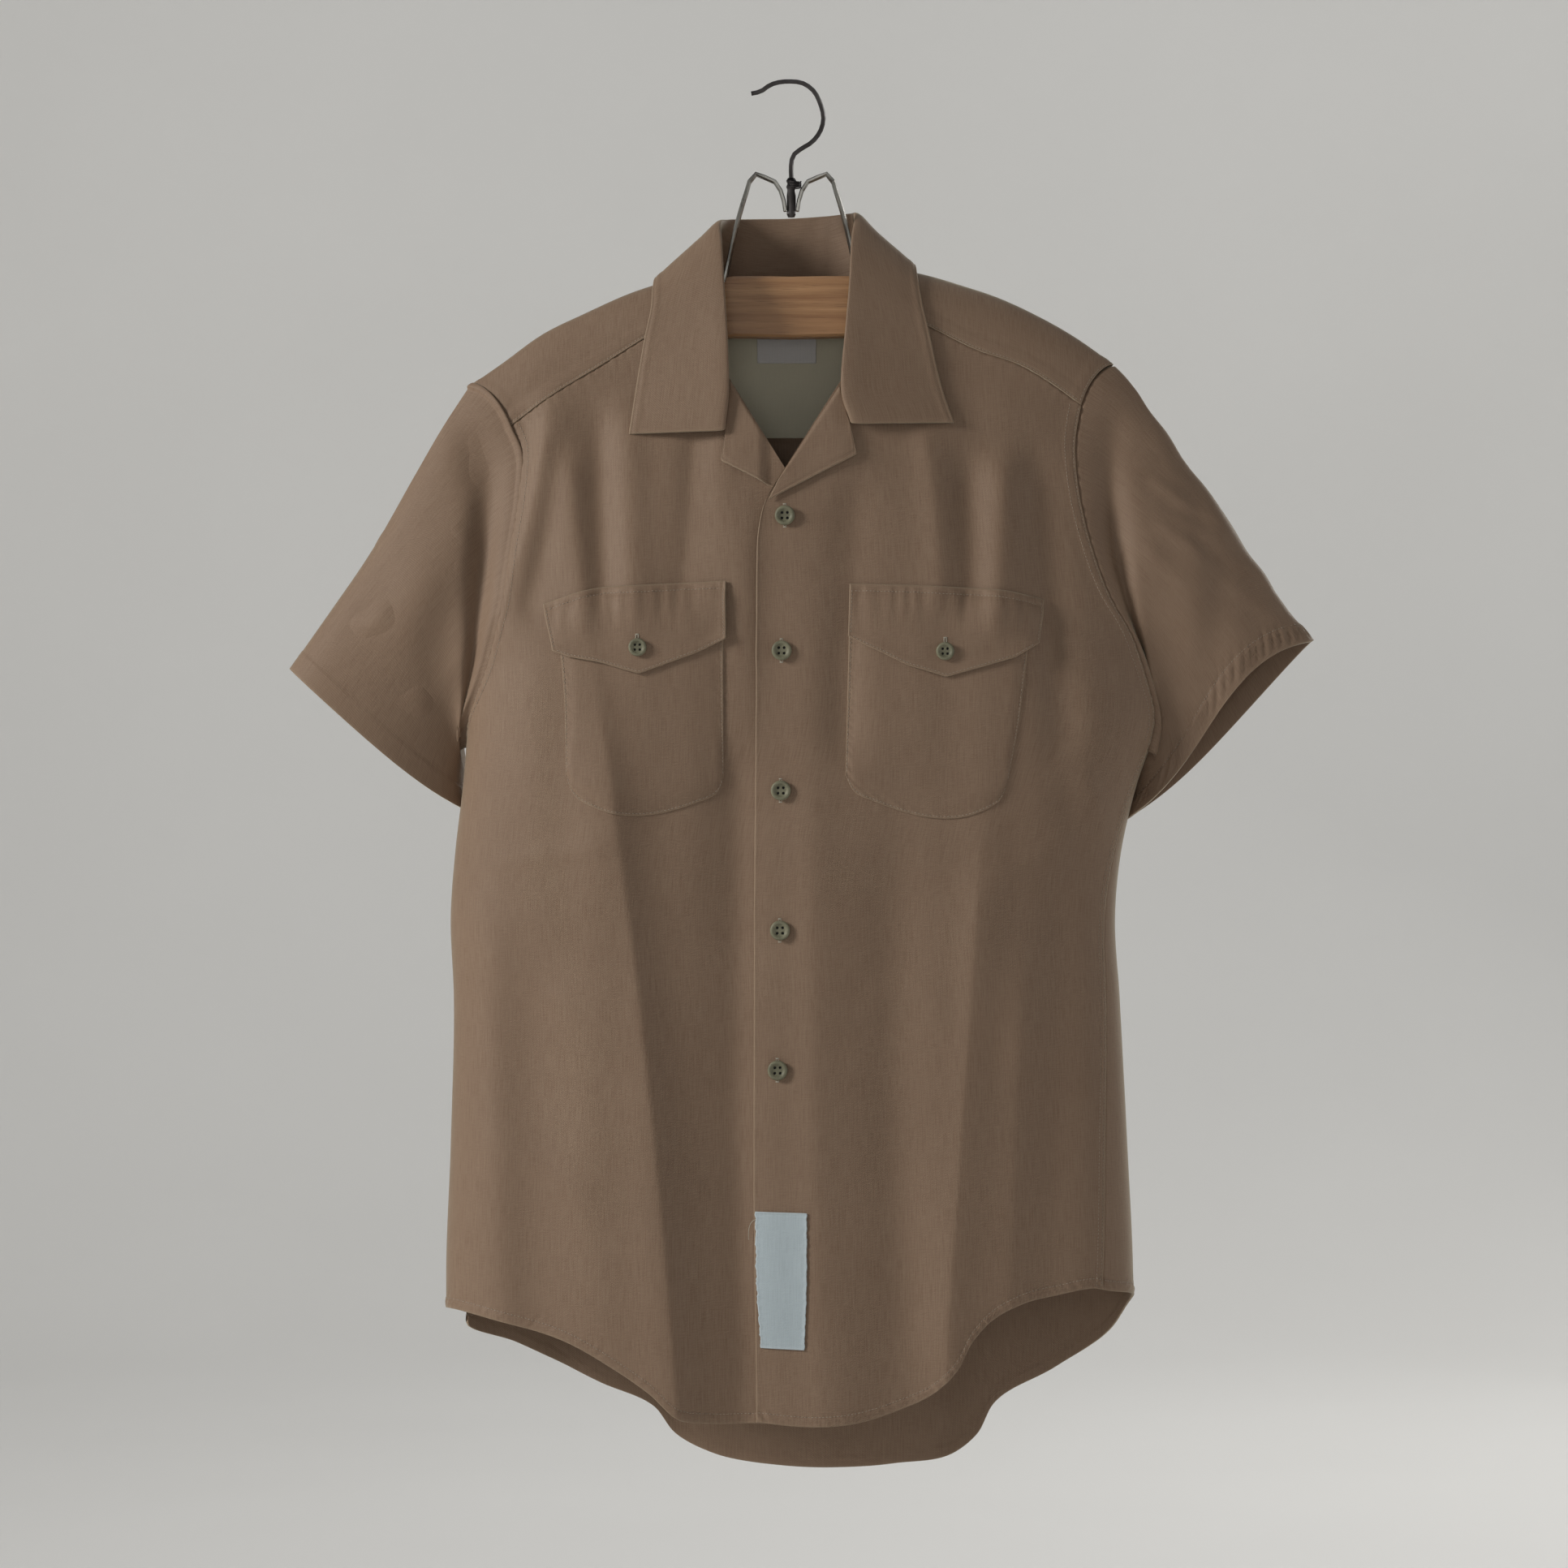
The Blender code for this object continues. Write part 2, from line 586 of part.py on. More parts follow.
def front_grid(seams, side):
    """Panel from the hem to the yoke, and from the fastening to the side seam and the armhole."""
    if side == "right":
        roll, neck, hem, edge = ROLL_RIGHT, NECK_FRONT_RIGHT, HEM_RIGHT, PLACKET_EDGE
    else:
        roll, neck, hem, edge = ROLL_LEFT, NECK_FRONT_LEFT, HEM_LEFT, UNDER_EDGE
    top = np.vstack([
        curve(roll, ROLL_STEPS)[:-1],
        curve(neck, NECK_STEPS)[:-1],
        seams.yoke_front[side],
    ])
    outer = np.vstack([seams.side[side][:-1], seams.armhole_front[side][::-1]])
    bottom = ring_curve(np.vstack([to_ring(hem), seams.side[side][0]]), len(top) - 1)
    inner = ring_curve(to_ring(edge), len(outer) - 1)
    return coons(bottom, to_ring(top), inner, outer)


def add_front(seams, side, name):
    """Front panel; the one that laps under steps back beside the fastening."""
    places = front_grid(seams, side)
    normal = ring_normals(places[..., 0], places[..., 1])
    grid = drawn_in(body_ring(places[..., 0], places[..., 1]), last_u=SEAM, last_v=SEAM)
    lift = 0.0
    if side == "left":
        lift = -LAP_STEP * soft_step((grid[..., 0] + LAP_EASE_FROM) / LAP_EASE)
    return add_wall(name, grid, twill(), lift=lift, normal=normal)


def add_back(seams):
    """Panel from one side seam, behind the arms, to the other."""
    right = np.vstack([seams.side["right"][:-1], seams.armhole_back["right"][::-1]])
    left_side = seams.side["left"] + np.array([4.0, 0.0])
    left = np.vstack([left_side[:-1], seams.armhole_back["left"][::-1]])
    top = to_ring(seams.yoke_back[::-1], False)
    hem = np.vstack([right[0], to_ring(HEM_BACK, False), left[0]])
    places = coons(ring_curve(hem, BACK_STEPS), top, right, left)
    normal = ring_normals(places[..., 0], places[..., 1])
    grid = drawn_in(body_ring(places[..., 0], places[..., 1]), SEAM, SEAM, 0, SEAM)
    return add_wall("back", grid, twill(), normal=normal)


def add_yoke(seams):
    """Horseshoe over both shoulders: from one front seam round behind the neck to the other."""
    outer = np.vstack([
        seams.armhole_over["left"][:-1],
        to_over(seams.yoke_back, False)[:-1],
        seams.armhole_over["right"][::-1],
    ])
    left = to_over(seams.yoke_front["left"], True)
    right = to_over(seams.yoke_front["right"], True)
    neck = np.vstack([left[0], (-64, 0), to_over(NECK_BACK, False), (62, 0), right[0]])
    places = coons(over_curve(neck, len(outer) - 1), outer, left, right)
    normal = surface_normals(body_over, places[..., 0], places[..., 1], ACROSS_STEP, OVER_STEP)
    grid = drawn_in(body_over(places[..., 0], places[..., 1]), SEAM, SEAM, 0, SEAM)
    return add_wall("yoke", grid, twill(), normal=normal)


def armhole_ring(seams, side):
    """Closed line of the armhole: down the front, up the back and over the shoulder."""
    front = body_ring(*seams.armhole_front[side].T)
    back = body_ring(*seams.armhole_back[side].T)
    over = body_over(*seams.armhole_over[side].T)
    return np.vstack([front[:-1], back[::-1][:-1], over[::-1][:-1]])


def add_sleeve(seams, side, name):
    """Rings from the armhole to a hem lying nearly flat, with a valley by the seam and a broad ridge."""
    if side == "left":
        top_line, under_line, hem_rise = SLEEVE_TOP_LEFT, SLEEVE_UNDER_LEFT, 0.0
    else:
        top_line, under_line, hem_rise = SLEEVE_TOP_RIGHT, SLEEVE_UNDER_RIGHT, 0.13
    ring = armhole_ring(seams, side)
    under = ARMHOLE_STEPS
    shoulder = 2 * ARMHOLE_STEPS + CREST_STEPS // 2
    run = lengths(np.vstack([ring, ring[:1]]))
    total = run[-1]
    run = run[:-1]
    front_run = (run - run[shoulder]) % total / ((run[under] - run[shoulder]) % total)
    back_run = (run - run[under]) / (run[shoulder] - run[under])
    angle = math.pi * np.where(front_run <= 1, front_run, 1 + back_run)
    rows = np.array(SLEEVE_ROWS)
    fine = 100
    steps = np.rint(rows * fine).astype(int)
    top = curve(top_line, fine)[steps]
    low = curve(under_line, fine)[steps]
    facing = np.sin(angle)[:, None]
    weight = (1 + np.cos(angle)[:, None]) / 2
    row = rows[None, :]
    slack = np.clip(row - hem_rise * np.maximum(facing, 0) ** 2 * row**4, 0, 1)
    flat = top[None] * weight[..., None] + low[None] * (1 - weight[..., None])
    start = top[0] * weight[..., None] + low[0] * (1 - weight[..., None])
    flat = flat - (flat - start) * ((row - slack) / np.maximum(row, 0.01))[..., None]
    valley = np.exp(-(((row - 0.12) / 0.07) ** 2)) * SLEEVE_VALLEY
    ridge = np.exp(-(((row - 0.45) / 0.22) ** 2)) * SLEEVE_RIDGE * np.exp(-(((weight - 0.7) / 0.2) ** 2))
    depth = SLEEVE_DEPTH * np.abs(facing) ** 0.8 * np.sign(facing)
    y = -depth - (ridge - valley * np.abs(facing)) * np.sign(facing)
    clear = math.copysign(SLEEVE_CLEAR, top[0][0]) * SLEEVE_CLEAR_PEAK * row**0.4 * (1 - row)
    tucked = soft_step(row / UNDER_ROWS)
    inward = math.copysign(UNDER_IN[side], top[0][0]) * tucked * (1 - weight) ** 6
    x = flat[..., 0] + clear * (1 - weight) ** 1.5 - inward
    y = y + UNDER_BACK * tucked * (1 - weight) ** 2
    hung = np.stack([x, y, flat[..., 1]], axis=-1)
    fade = ((1 - row) ** 2.2)[..., None]
    grid = hung + (ring[:, None] - hung[:, :1]) * fade
    grid[:, 0] = ring
    return add_wall(name, drawn_in(grid, first_v=SLEEVE_SEAM), twill(), around=True)


def patch_places(sides, steps_u, steps_v):
    """Places in the front view of a patch, from its four sides."""
    bottom = curve(sides["bottom"], steps_u, False)
    top = curve(sides["top"], steps_u)
    left = curve(sides["left"], steps_v)[::-1]
    right = curve(sides["right"], steps_v)[::-1]
    return coons(bottom, top, left, right)


def add_laid(name, places, finish, lift, thickness=WALL, front=True):
    """Wall that lies on the body surface at a distance, outside it or, with a negative lift, inside."""
    x, z = places[..., 0], places[..., 1]
    grid = body_face(x, z, front)
    return add_wall(name, grid, finish, thickness, lift, face_normals(x, z, front))


def add_pocket(side, name):
    sides = POCKET_LEFT if side == "left" else POCKET_RIGHT
    return add_laid(name, patch_places(sides, 12, 6), twill(), WALL + LAID_GAP)


def add_flap(side, name):
    """Flap that starts close to the front and rises over the pocket's edge."""
    sides = FLAP_LEFT if side == "left" else FLAP_RIGHT
    places = patch_places(sides, 12, 4)
    fall = places[:, -1:, 1] - places[..., 1]
    lift = WALL + FLAP_TOP_GAP + FLAP_LIFT * soft_step(fall / FLAP_LIFT_DROP)
    return add_laid(name, places, twill(), lift)


def add_lapel(side, name):
    sides = LAPEL_LEFT if side == "left" else LAPEL_RIGHT
    return add_laid(name, patch_places(sides, 6, 4), twill(), LAPEL_LIFT)


def add_collar():
    """Folded strip: up from the neck seam, over the roll line and down to the free edge."""
    rows = len(COLLAR["nx"])
    at = np.linspace(0, rows - 1, COLLAR_STATIONS + 1)
    index = np.arange(rows, dtype=float)
    table = {name: smooth(at, index, column) for name, column in COLLAR.items()}
    neck, roll, edge = (
        np.stack([table[letter + axis] for axis in "xyz"], axis=1) for letter in "nre"
    )
    height = np.linalg.norm(neck - roll, axis=1, keepdims=True)
    inward = (neck - roll) / height
    outward = (edge - roll) / np.linalg.norm(edge - roll, axis=1, keepdims=True)
    apart = outward - inward
    apart /= np.linalg.norm(apart, axis=1, keepdims=True)
    fold = np.minimum(COLLAR_FOLD, height * 0.45)
    inside = roll + inward * fold - apart * COLLAR_FOLD_HALF
    outside = roll + outward * COLLAR_FOLD + apart * COLLAR_FOLD_HALF
    strips = [neck, (neck + inside) / 2, inside, roll, outside]
    for step in range(1, COLLAR_LEAF_STEPS + 1):
        strips.append(outside + (edge - outside) * step / COLLAR_LEAF_STEPS)
    return add_wall("collar", np.stack(strips, axis=1), twill(), thickness=COLLAR_WALL)


def add_oblong(name, place, steps, finish, lift, front, thickness=LABEL_WALL):
    left, right, top, bottom = place
    x = np.linspace(left, right, steps[0] + 1)
    z = np.linspace(bottom, top, steps[1] + 1)
    places = np.stack(np.meshgrid(x, z, indexing="ij"), axis=-1)
    return add_laid(name, places, finish, lift, thickness, front)


def add_button(name, place, radius, lift):
    """Turned button, dished inside its rim, lying on the cloth and facing the viewer."""
    turn = np.linspace(0, 2 * math.pi, BUTTON_SIDES, endpoint=False)
    x = place[0] + radius * np.cos(turn)
    z = place[1] + radius * np.sin(turn)
    cloth = body_y(x, z, np.full(x.shape, True)).min() - WALL / 2 - lift
    profile = columns("radius depth", [
        (0.72 * radius, 0), (0.96 * radius, 0.35), (radius, 0.5 * BUTTON_THICKNESS),
        (0.9 * radius, BUTTON_THICKNESS), (0.7 * radius, 0.95 * BUTTON_THICKNESS),
        (0.62 * radius, 0.65 * BUTTON_THICKNESS),
    ])
    rings = np.stack([
        place[0] + profile["radius"][:, None] * np.cos(turn),
        cloth - BUTTON_GAP - profile["depth"][:, None] * np.ones_like(turn),
        place[1] + profile["radius"][:, None] * np.sin(turn),
    ], axis=-1)
    return add_rings(name, rings, button_plastic())


def add_slat(name, facing):
    """One of the two wooden arms, shaped under the shoulders, with eased corners."""
    x = np.linspace(-SLAT_HALF_LENGTH, SLAT_HALF_LENGTH, 19)
    out = (x / SLAT_HALF_LENGTH) ** 2
    top = crest(x) - SLAT_DROP - SLAT_END_DROP * out
    bottom = top - SLAT_HEIGHT + SLAT_END_LOSS * out
    near = SLAT_INNER
    far = SLAT_INNER + SLAT_THICKNESS
    cut = SLAT_CORNER
    section = [
        (near + cut, 0, 0), (far - cut, 0, 0), (far, 0, -cut), (far, 1, cut),
        (far - cut, 1, 0), (near + cut, 1, 0), (near, 1, cut), (near, 0, -cut),
    ]
    rings = [
        np.stack([x, np.full_like(x, facing * y), (bottom if low else top) + eased], axis=1)
        for y, low, eased in section
    ]
    return add_rings(name, np.stack(rings, axis=1), beech())


def add_hanger():
    add_slat("hanger_slat_front", -1)
    add_slat("hanger_slat_back", 1)
    add_wire("hanger_hook", curve(HOOK_LINE, HOOK_STEPS), HOOK_WIRE, dark_wire())
    turn = np.linspace(0, 2 * math.pi, 12, endpoint=False)
    rings = np.stack([
        FERRULE["radius"][:, None] * np.cos(turn),
        FERRULE["radius"][:, None] * np.sin(turn),
        FERRULE["z"][:, None] * np.ones_like(turn),
    ], axis=-1)
    add_rings("hanger_ferrule", rings, nickel_wire())
    line = np.stack([CLAMP_LINE[axis] for axis in "xyz"], axis=1)
    for side, turn_x in (("left", 1), ("right", -1)):
        for face, turn_y in (("front", 1), ("back", -1)):
            placed = curve(line * np.array([turn_x, turn_y, 1.0]), CLAMP_STEPS)
            add_wire(f"hanger_clamp_{face}_{side}", placed, CLAMP_WIRE, nickel_wire())


def main():
    for old in list(bpy.data.objects):
        bpy.data.objects.remove(old, do_unlink=True)
    seams = Seams()
    add_front(seams, "right", "front_over")
    add_front(seams, "left", "front_under")
    add_back(seams)
    add_yoke(seams)
    add_sleeve(seams, "left", "sleeve_left")
    add_sleeve(seams, "right", "sleeve_right")
    add_collar()
    add_lapel("left", "lapel_under")
    add_lapel("right", "lapel_over")
    for side in ("left", "right"):
        add_pocket(side, f"pocket_{side}")
        add_flap(side, f"pocket_flap_{side}")
        flap_top = WALL + FLAP_TOP_GAP + FLAP_LIFT
        add_button(f"pocket_button_{side}", POCKET_BUTTONS[side], POCKET_BUTTON_RADIUS, flap_top)
    for number, place in enumerate(FRONT_BUTTONS, 1):
        add_button(f"front_button_{number}", place, BUTTON_RADIUS, 0.0)
    laid = WALL + LAID_GAP
    add_oblong("yoke_lining", LINING, (8, 4), lining_cloth(), -laid, False, WALL)
    add_oblong("neck_label", NECK_LABEL, (4, 2), label_cloth(), -2 * laid + LABEL_SEAT, False)
    add_oblong("patch_label", PATCH_LABEL, (4, 6), label_cloth(), laid - LABEL_SEAT, True)
    add_hanger()


main()
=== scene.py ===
# %% [markdown]
# # A work shirt on its hanger
# The shirt is a light brown twill of cotton and polyester, cut with an open collar, two flapped pockets and
# short sleeves. It hangs from a wooden hanger, so that almost all of its form comes from three things: the
# slope of the hanger, the cut of the panels and the long soft folds that fall from them.
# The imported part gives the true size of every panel. This script lays finer cloth on the same surfaces.

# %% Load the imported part
import math

import bpy
import numpy as np
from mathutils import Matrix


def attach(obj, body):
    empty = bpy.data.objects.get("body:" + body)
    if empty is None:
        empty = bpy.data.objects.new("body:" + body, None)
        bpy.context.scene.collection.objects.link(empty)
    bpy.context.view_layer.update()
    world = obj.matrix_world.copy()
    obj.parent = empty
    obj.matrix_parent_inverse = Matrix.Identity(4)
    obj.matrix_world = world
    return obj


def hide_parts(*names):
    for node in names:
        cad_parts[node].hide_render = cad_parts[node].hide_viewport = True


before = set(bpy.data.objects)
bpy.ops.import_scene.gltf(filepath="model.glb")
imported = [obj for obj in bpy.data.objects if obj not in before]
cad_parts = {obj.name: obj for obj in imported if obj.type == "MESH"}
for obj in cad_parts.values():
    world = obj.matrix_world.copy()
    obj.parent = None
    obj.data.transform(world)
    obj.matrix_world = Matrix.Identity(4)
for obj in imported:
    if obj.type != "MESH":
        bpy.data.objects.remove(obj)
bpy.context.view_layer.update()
METRE = 0.001

# %% [markdown]
# ## Curves through short tables
# Every seam and edge was measured as a few places in the front view. A cubic curve through them gives as many
# points as a finer mesh needs, so one short table serves both a coarse solid and this cloth.


# %% Curves and steps
def columns(names, rows):
    """A short table as one array for each named column."""
    return dict(zip(names.split(), np.array(rows, float).T))


def smooth(at, xs, ys):
    """Cubic curve through a table: each slope is taken from the neighbouring rows."""
    slopes = np.gradient(ys, xs)
    row = np.clip(np.searchsorted(xs, at) - 1, 0, len(xs) - 2)
    step = xs[row + 1] - xs[row]
    t = np.clip((at - xs[row]) / step, 0, 1)
    start = (2 * t**3 - 3 * t**2 + 1) * ys[row] + (t**3 - 2 * t**2 + t) * step * slopes[row]
    end = (3 * t**2 - 2 * t**3) * ys[row + 1] + (t**3 - t**2) * step * slopes[row + 1]
    return start + end


def soft_step(t):
    """Rises from 0 to 1 as 3t squared less 2t cubed."""
    t = np.clip(t, 0, 1)
    return t * t * (3 - 2 * t)


def bump(distance, middle, width):
    """Bell curve round a middle: e to the power of minus (distance from it over the width) squared."""
    return np.exp(-(((distance - middle) / width) ** 2))


def round_edge(t):
    """Quarter of a circle, from 0 upright at t = 0 to 1 level at t = 1."""
    return np.sqrt(1 - (1 - np.clip(t, 0, 1)) ** 2)


def lengths(points):
    """Running length along a line of points."""
    steps = np.linalg.norm(np.diff(points, axis=0), axis=1)
    return np.concatenate([[0], np.cumsum(steps)])


def curve_at(points, shares, rounded=True):
    """Places at given shares of the length of a curve, or of straight lines, through the given points."""
    points = np.array(points, float)
    run = lengths(points)
    fine = np.linspace(0, run[-1], 60 * len(points))
    rule = smooth if rounded and len(points) > 2 else np.interp
    dense = np.stack([rule(fine, run, column) for column in points.T], axis=1)
    along = lengths(dense)
    at = np.interp(np.asarray(shares) * along[-1], along, fine)
    return np.stack([rule(at, run, column) for column in points.T], axis=1)


def filled(points, longest=40.0):
    """Adds even points on each long step, so that a curve read through them keeps to the straight line."""
    rows = [np.array(points[:1], dtype=float)]
    for start, end in zip(points, points[1:]):
        count = math.ceil(math.dist(start, end) / longest)
        rows.append(np.linspace(start, end, count + 1)[1:])
    return [tuple(row) for row in np.concatenate(rows)]


def joined_at(shares, *parts):
    """Places on several curves set end to end, where each part is (its number of steps, its rule)."""
    total = sum(steps for steps, _ in parts)
    found = np.zeros((len(shares), 2))
    start = 0.0
    for steps, rule in parts:
        end = start + steps / total
        inside = (shares >= start - 1e-9) & (shares <= end + 1e-9)
        found[inside] = rule(np.clip((shares[inside] - start) / (end - start), 0, 1))
        start = end
    return found


def coons(bottom, top, left, right, u, v):
    """Grid filled in between four edges: the two ruled surfaces added, less the one through the corners."""
    u = u[:, None, None]
    v = v[None, :, None]
    ruled = (1 - v) * bottom[:, None] + v * top[:, None] + (1 - u) * left[None] + u * right[None]
    corners = (1 - u) * ((1 - v) * bottom[0] + v * top[0]) + u * ((1 - v) * bottom[-1] + v * top[-1])
    return ruled - corners


# %% [markdown]
# ## The hung body
# A shirt on a hanger is a flattened tube. Its left and right outlines and its depth are rows of a table by
# height, and the top follows the shoulders of the hanger. Heights and widths are in millimetres from the place
# where the hook is held.

# %% Outlines of the body
BODY = columns("z left right front back", [
    (-930, -216, 219, 56, 52),
    (-793, -227, 225, 54, 50),
    (-698, -224, 221, 51, 47),
    (-602, -222, 216, 49, 45),
    (-547, -224, 213, 49, 44),
    (-506, -221, 217, 50, 44),
    (-463, -216, 227, 51, 44),
    (-423, -213, 240, 52, 44),
    (-367, -214, 240, 52, 43),
    (-300, -216, 234, 49, 41),
    (-200, -214, 224, 46, 38),
    (-100, -214, 222, 44, 36),
])
CREST = columns("x z", [
    (-250, -229), (-212, -200), (-190, -184.6), (-165, -166.4), (-136, -152), (-107, -139),
    (-80, -130), (-55, -122.5), (0, -121), (64, -122), (90, -127), (113, -133.8),
    (136, -141.5), (159, -152), (185, -166.4), (211, -184.6), (250, -214),
])
CREST_DEPTH, NECK_DEPTH, NECK_REACH, CREST_ROUND, CHEST_DROP = 15.0, 17.0, 65.0, 30.0, 260.0


def crest(x):
    """Height of the top of the shoulders."""
    return smooth(x, CREST["x"], CREST["z"])


def middle(z):
    """Halfway between the two outlines at a height."""
    return (smooth(z, BODY["z"], BODY["left"]) + smooth(z, BODY["z"], BODY["right"])) / 2


def half_width(z):
    """Half the distance between the two outlines at a height."""
    return (smooth(z, BODY["z"], BODY["right"]) - smooth(z, BODY["z"], BODY["left"])) / 2


def across(ring):
    """Place across the body, -1 to 1, of a place round it, 0 in front and 2 behind: r (5 - r^4) / 4."""
    ring = (ring + 1) % 4 - 1
    ring = np.where(ring > 1, 2 - ring, ring)
    return ring * (5 - ring**4) / 4


def on_front(ring):
    """Whether a place round the body faces the viewer."""
    return (ring + 1) % 4 - 1 <= 1


def ring_of(x, z, front=True):
    """Place round the body of a point in the front view, read back from a table of the rule above."""
    table = np.linspace(-1, 1, 400)
    ring = np.interp((x - middle(z)) / half_width(z), across(table), table)
    return ring if front else 2 - ring


# %% [markdown]
# ## Folds placed one by one
# Each fold is one row: whether it is in front, the line it follows from top to bottom, its height (negative
# for a trough), how far it dies away to its left and right, and how sharp its top is on either side. The long
# crease left of the fastening is the strongest: wide on its lit side and steep on its dark side. The back isn't
# seen, so it has similar folds, which is how such a shirt falls from the same hanger.

# %% Table of folds
FOLD_NAMES = "front x_top z_top x_middle x_bottom z_bottom height left_flank right_flank left_sharp right_sharp"
FOLDS = columns(FOLD_NAMES, [
    (1, -131, -372, -96, -73, -880, 11.5, 48, 15, 1.5, 1.3),
    (1, -48, -330, -40, -36, -860, -5.5, 24, 22, 2.0, 2.0),
    (1, 14, -430, 16, 20, -880, 4.5, 18, 30, 1.8, 1.5),
    (1, 124, -480, 113, 101, -815, 6.0, 14, 26, 1.3, 1.5),
    (1, 139, -240, 136, 132, -350, 6.0, 14, 14, 1.8, 1.6),
    (1, -146, -240, -141, -134, -350, 5.0, 16, 12, 1.6, 1.6),
    (1, 60, -450, 64, 72, -860, -4.5, 22, 24, 2.0, 2.0),
    (1, 176, -500, 172, 168, -780, -4.5, 20, 18, 1.8, 1.8),
    (1, -172, -560, -166, -160, -800, -4.0, 24, 22, 2.0, 2.0),
    (1, -200, -520, -196, -188, -800, 3.0, 16, 16, 1.8, 1.8),
    (1, 150, -560, 146, 142, -780, 2.6, 12, 14, 1.6, 1.6),
    (1, 40, -250, 38, 36, -420, -4.5, 16, 14, 2.0, 2.0),
    (1, -62, -215, -66, -70, -330, -3.6, 12, 14, 1.6, 1.6),
    (1, -108, -200, -106, -104, -340, 4.4, 14, 14, 2.0, 2.0),
    (1, 84, -215, 92, 96, -330, 4.0, 12, 14, 1.6, 1.6),
    (1, 112, -240, 116, 118, -340, -3.4, 12, 12, 2.0, 2.0),
    (1, 160, -230, 166, 174, -420, -4.5, 12, 14, 2.0, 2.0),
    (1, -126, -215, -124, -122, -330, -2.6, 10, 10, 1.8, 1.8),
    (1, -158, -200, -168, -190, -350, 8.0, 10, 16, 1.7, 1.6),
    (1, -152, -230, -158, -170, -340, -2.5, 8, 9, 2.0, 2.0),
    (1, -30, -262, -32, -34, -420, 2.2, 12, 12, 2.0, 2.0),
    (0, -96, -300, -86, -78, -890, 6.0, 26, 34, 1.6, 1.6),
    (0, 88, -300, 96, 104, -890, 6.0, 34, 24, 1.6, 1.6),
    (0, 4, -260, 0, -6, -900, -5.0, 46, 46, 2.0, 2.0),
    (0, 158, -420, 160, 164, -840, -4.0, 22, 22, 2.0, 2.0),
    (0, -160, -420, -156, -152, -830, 4.0, 24, 18, 1.6, 1.6),
    (0, 46, -260, 50, 44, -420, 3.0, 14, 18, 1.6, 1.6),
    (0, -44, -260, -50, -46, -460, 2.6, 16, 14, 1.6, 1.6),
    (0, -190, -300, -186, -180, -520, -3.0, 14, 16, 2.0, 2.0),
])
# Pressed creases and drag lines: the way they run, their two ends, a middle, and their height and two flanks
CREASES = columns("upright x_start z_start x_middle z_middle x_end z_end height before after", [
    (0, -207, -517, -156, -508, -104, -503, 1.5, 5, 9),
    (0, -214, -560, -170, -590, -130, -612, 1.4, 14, 12),
    (0, -220, -690, -180, -706, -120, -742, 1.8, 20, 18),
    (0, 40, -610, 70, -600, 108, -612, 1.0, 12, 12),
    (1, 185, -449, 201, -485, 209, -504, 2.6, 6, 9),
    (1, 172, -452, 188, -496, 200, -540, -1.8, 10, 8),
    (0, 118, -520, 160, -508, 204, -478, 1.6, 14, 10),
    (0, 130, -640, 170, -626, 214, -600, 1.4, 16, 14),
])
WAVES = columns("wide tall phase height", [
    (0.061, 0.004, 0.4, 0.55), (0.104, -0.011, 2.1, 0.35), (0.173, 0.009, 4.0, 0.22),
    (0.021, 0.037, 1.2, 0.50), (0.013, -0.071, 3.1, 0.28),
])


def fold_height(x, z, front):
    """Sum of the folds: height times e to minus (distance over flank) to the power of its sharpness."""
    total = np.zeros_like(x)
    for row in range(len(FOLDS["front"])):
        fold = {name: column[row] for name, column in FOLDS.items()}
        along = (z - fold["z_top"]) / (fold["z_bottom"] - fold["z_top"])
        t = np.clip(along, 0, 1)
        bend = fold["x_middle"] - (fold["x_top"] + fold["x_bottom"]) / 2
        away = x - (fold["x_top"] + (fold["x_bottom"] - fold["x_top"]) * t + bend * 4 * t * (1 - t))
        flank = np.where(away < 0, fold["left_flank"], fold["right_flank"])
        sharp = np.where(away < 0, fold["left_sharp"], fold["right_sharp"])
        shape = np.exp(-(np.sqrt((away / flank) ** 2 + 0.0004) ** sharp))
        ends = soft_step((along + 0.05) / 0.3) * soft_step((1.25 - along) / 0.25)
        total += np.where(front == bool(fold["front"]), 1, 0) * fold["height"] * shape * ends
    return total


def crease_height(x, z):
    """Sum of the creases, each a soft ridge or trough along a parabola through its three places."""
    total = np.zeros_like(x)
    for row in range(len(CREASES["height"])):
        c = {name: column[row] for name, column in CREASES.items()}
        run, level, reach, mid, off = (
            (z, x, ("z_start", "z_end"), "x_middle", ("x_start", "x_end")) if c["upright"]
            else (x, z, ("x_start", "x_end"), "z_middle", ("z_start", "z_end"))
        )
        t = (run - c[reach[0]]) / (c[reach[1]] - c[reach[0]])
        bend = c[mid] - (c[off[0]] + c[off[1]]) / 2
        away = level - (c[off[0]] + (c[off[1]] - c[off[0]]) * t + bend * 4 * t * (1 - t))
        flank = np.where(away < 0, c["before"], c["after"])
        ends = soft_step(t / 0.25) * soft_step((1 - t) / 0.25)
        total += c["height"] * np.exp(-(np.abs(away / flank) ** 1.5)) * ends
    return total


def wave_height(x, z):
    """Small uneven ripple: a sum of sines that run across and down at different pitches."""
    total = np.zeros_like(x)
    for wide, tall, phase, height in zip(*WAVES.values()):
        total += height * np.sin(wide * x + tall * z + phase + 0.9 * np.sin(0.012 * z + phase))
    return total


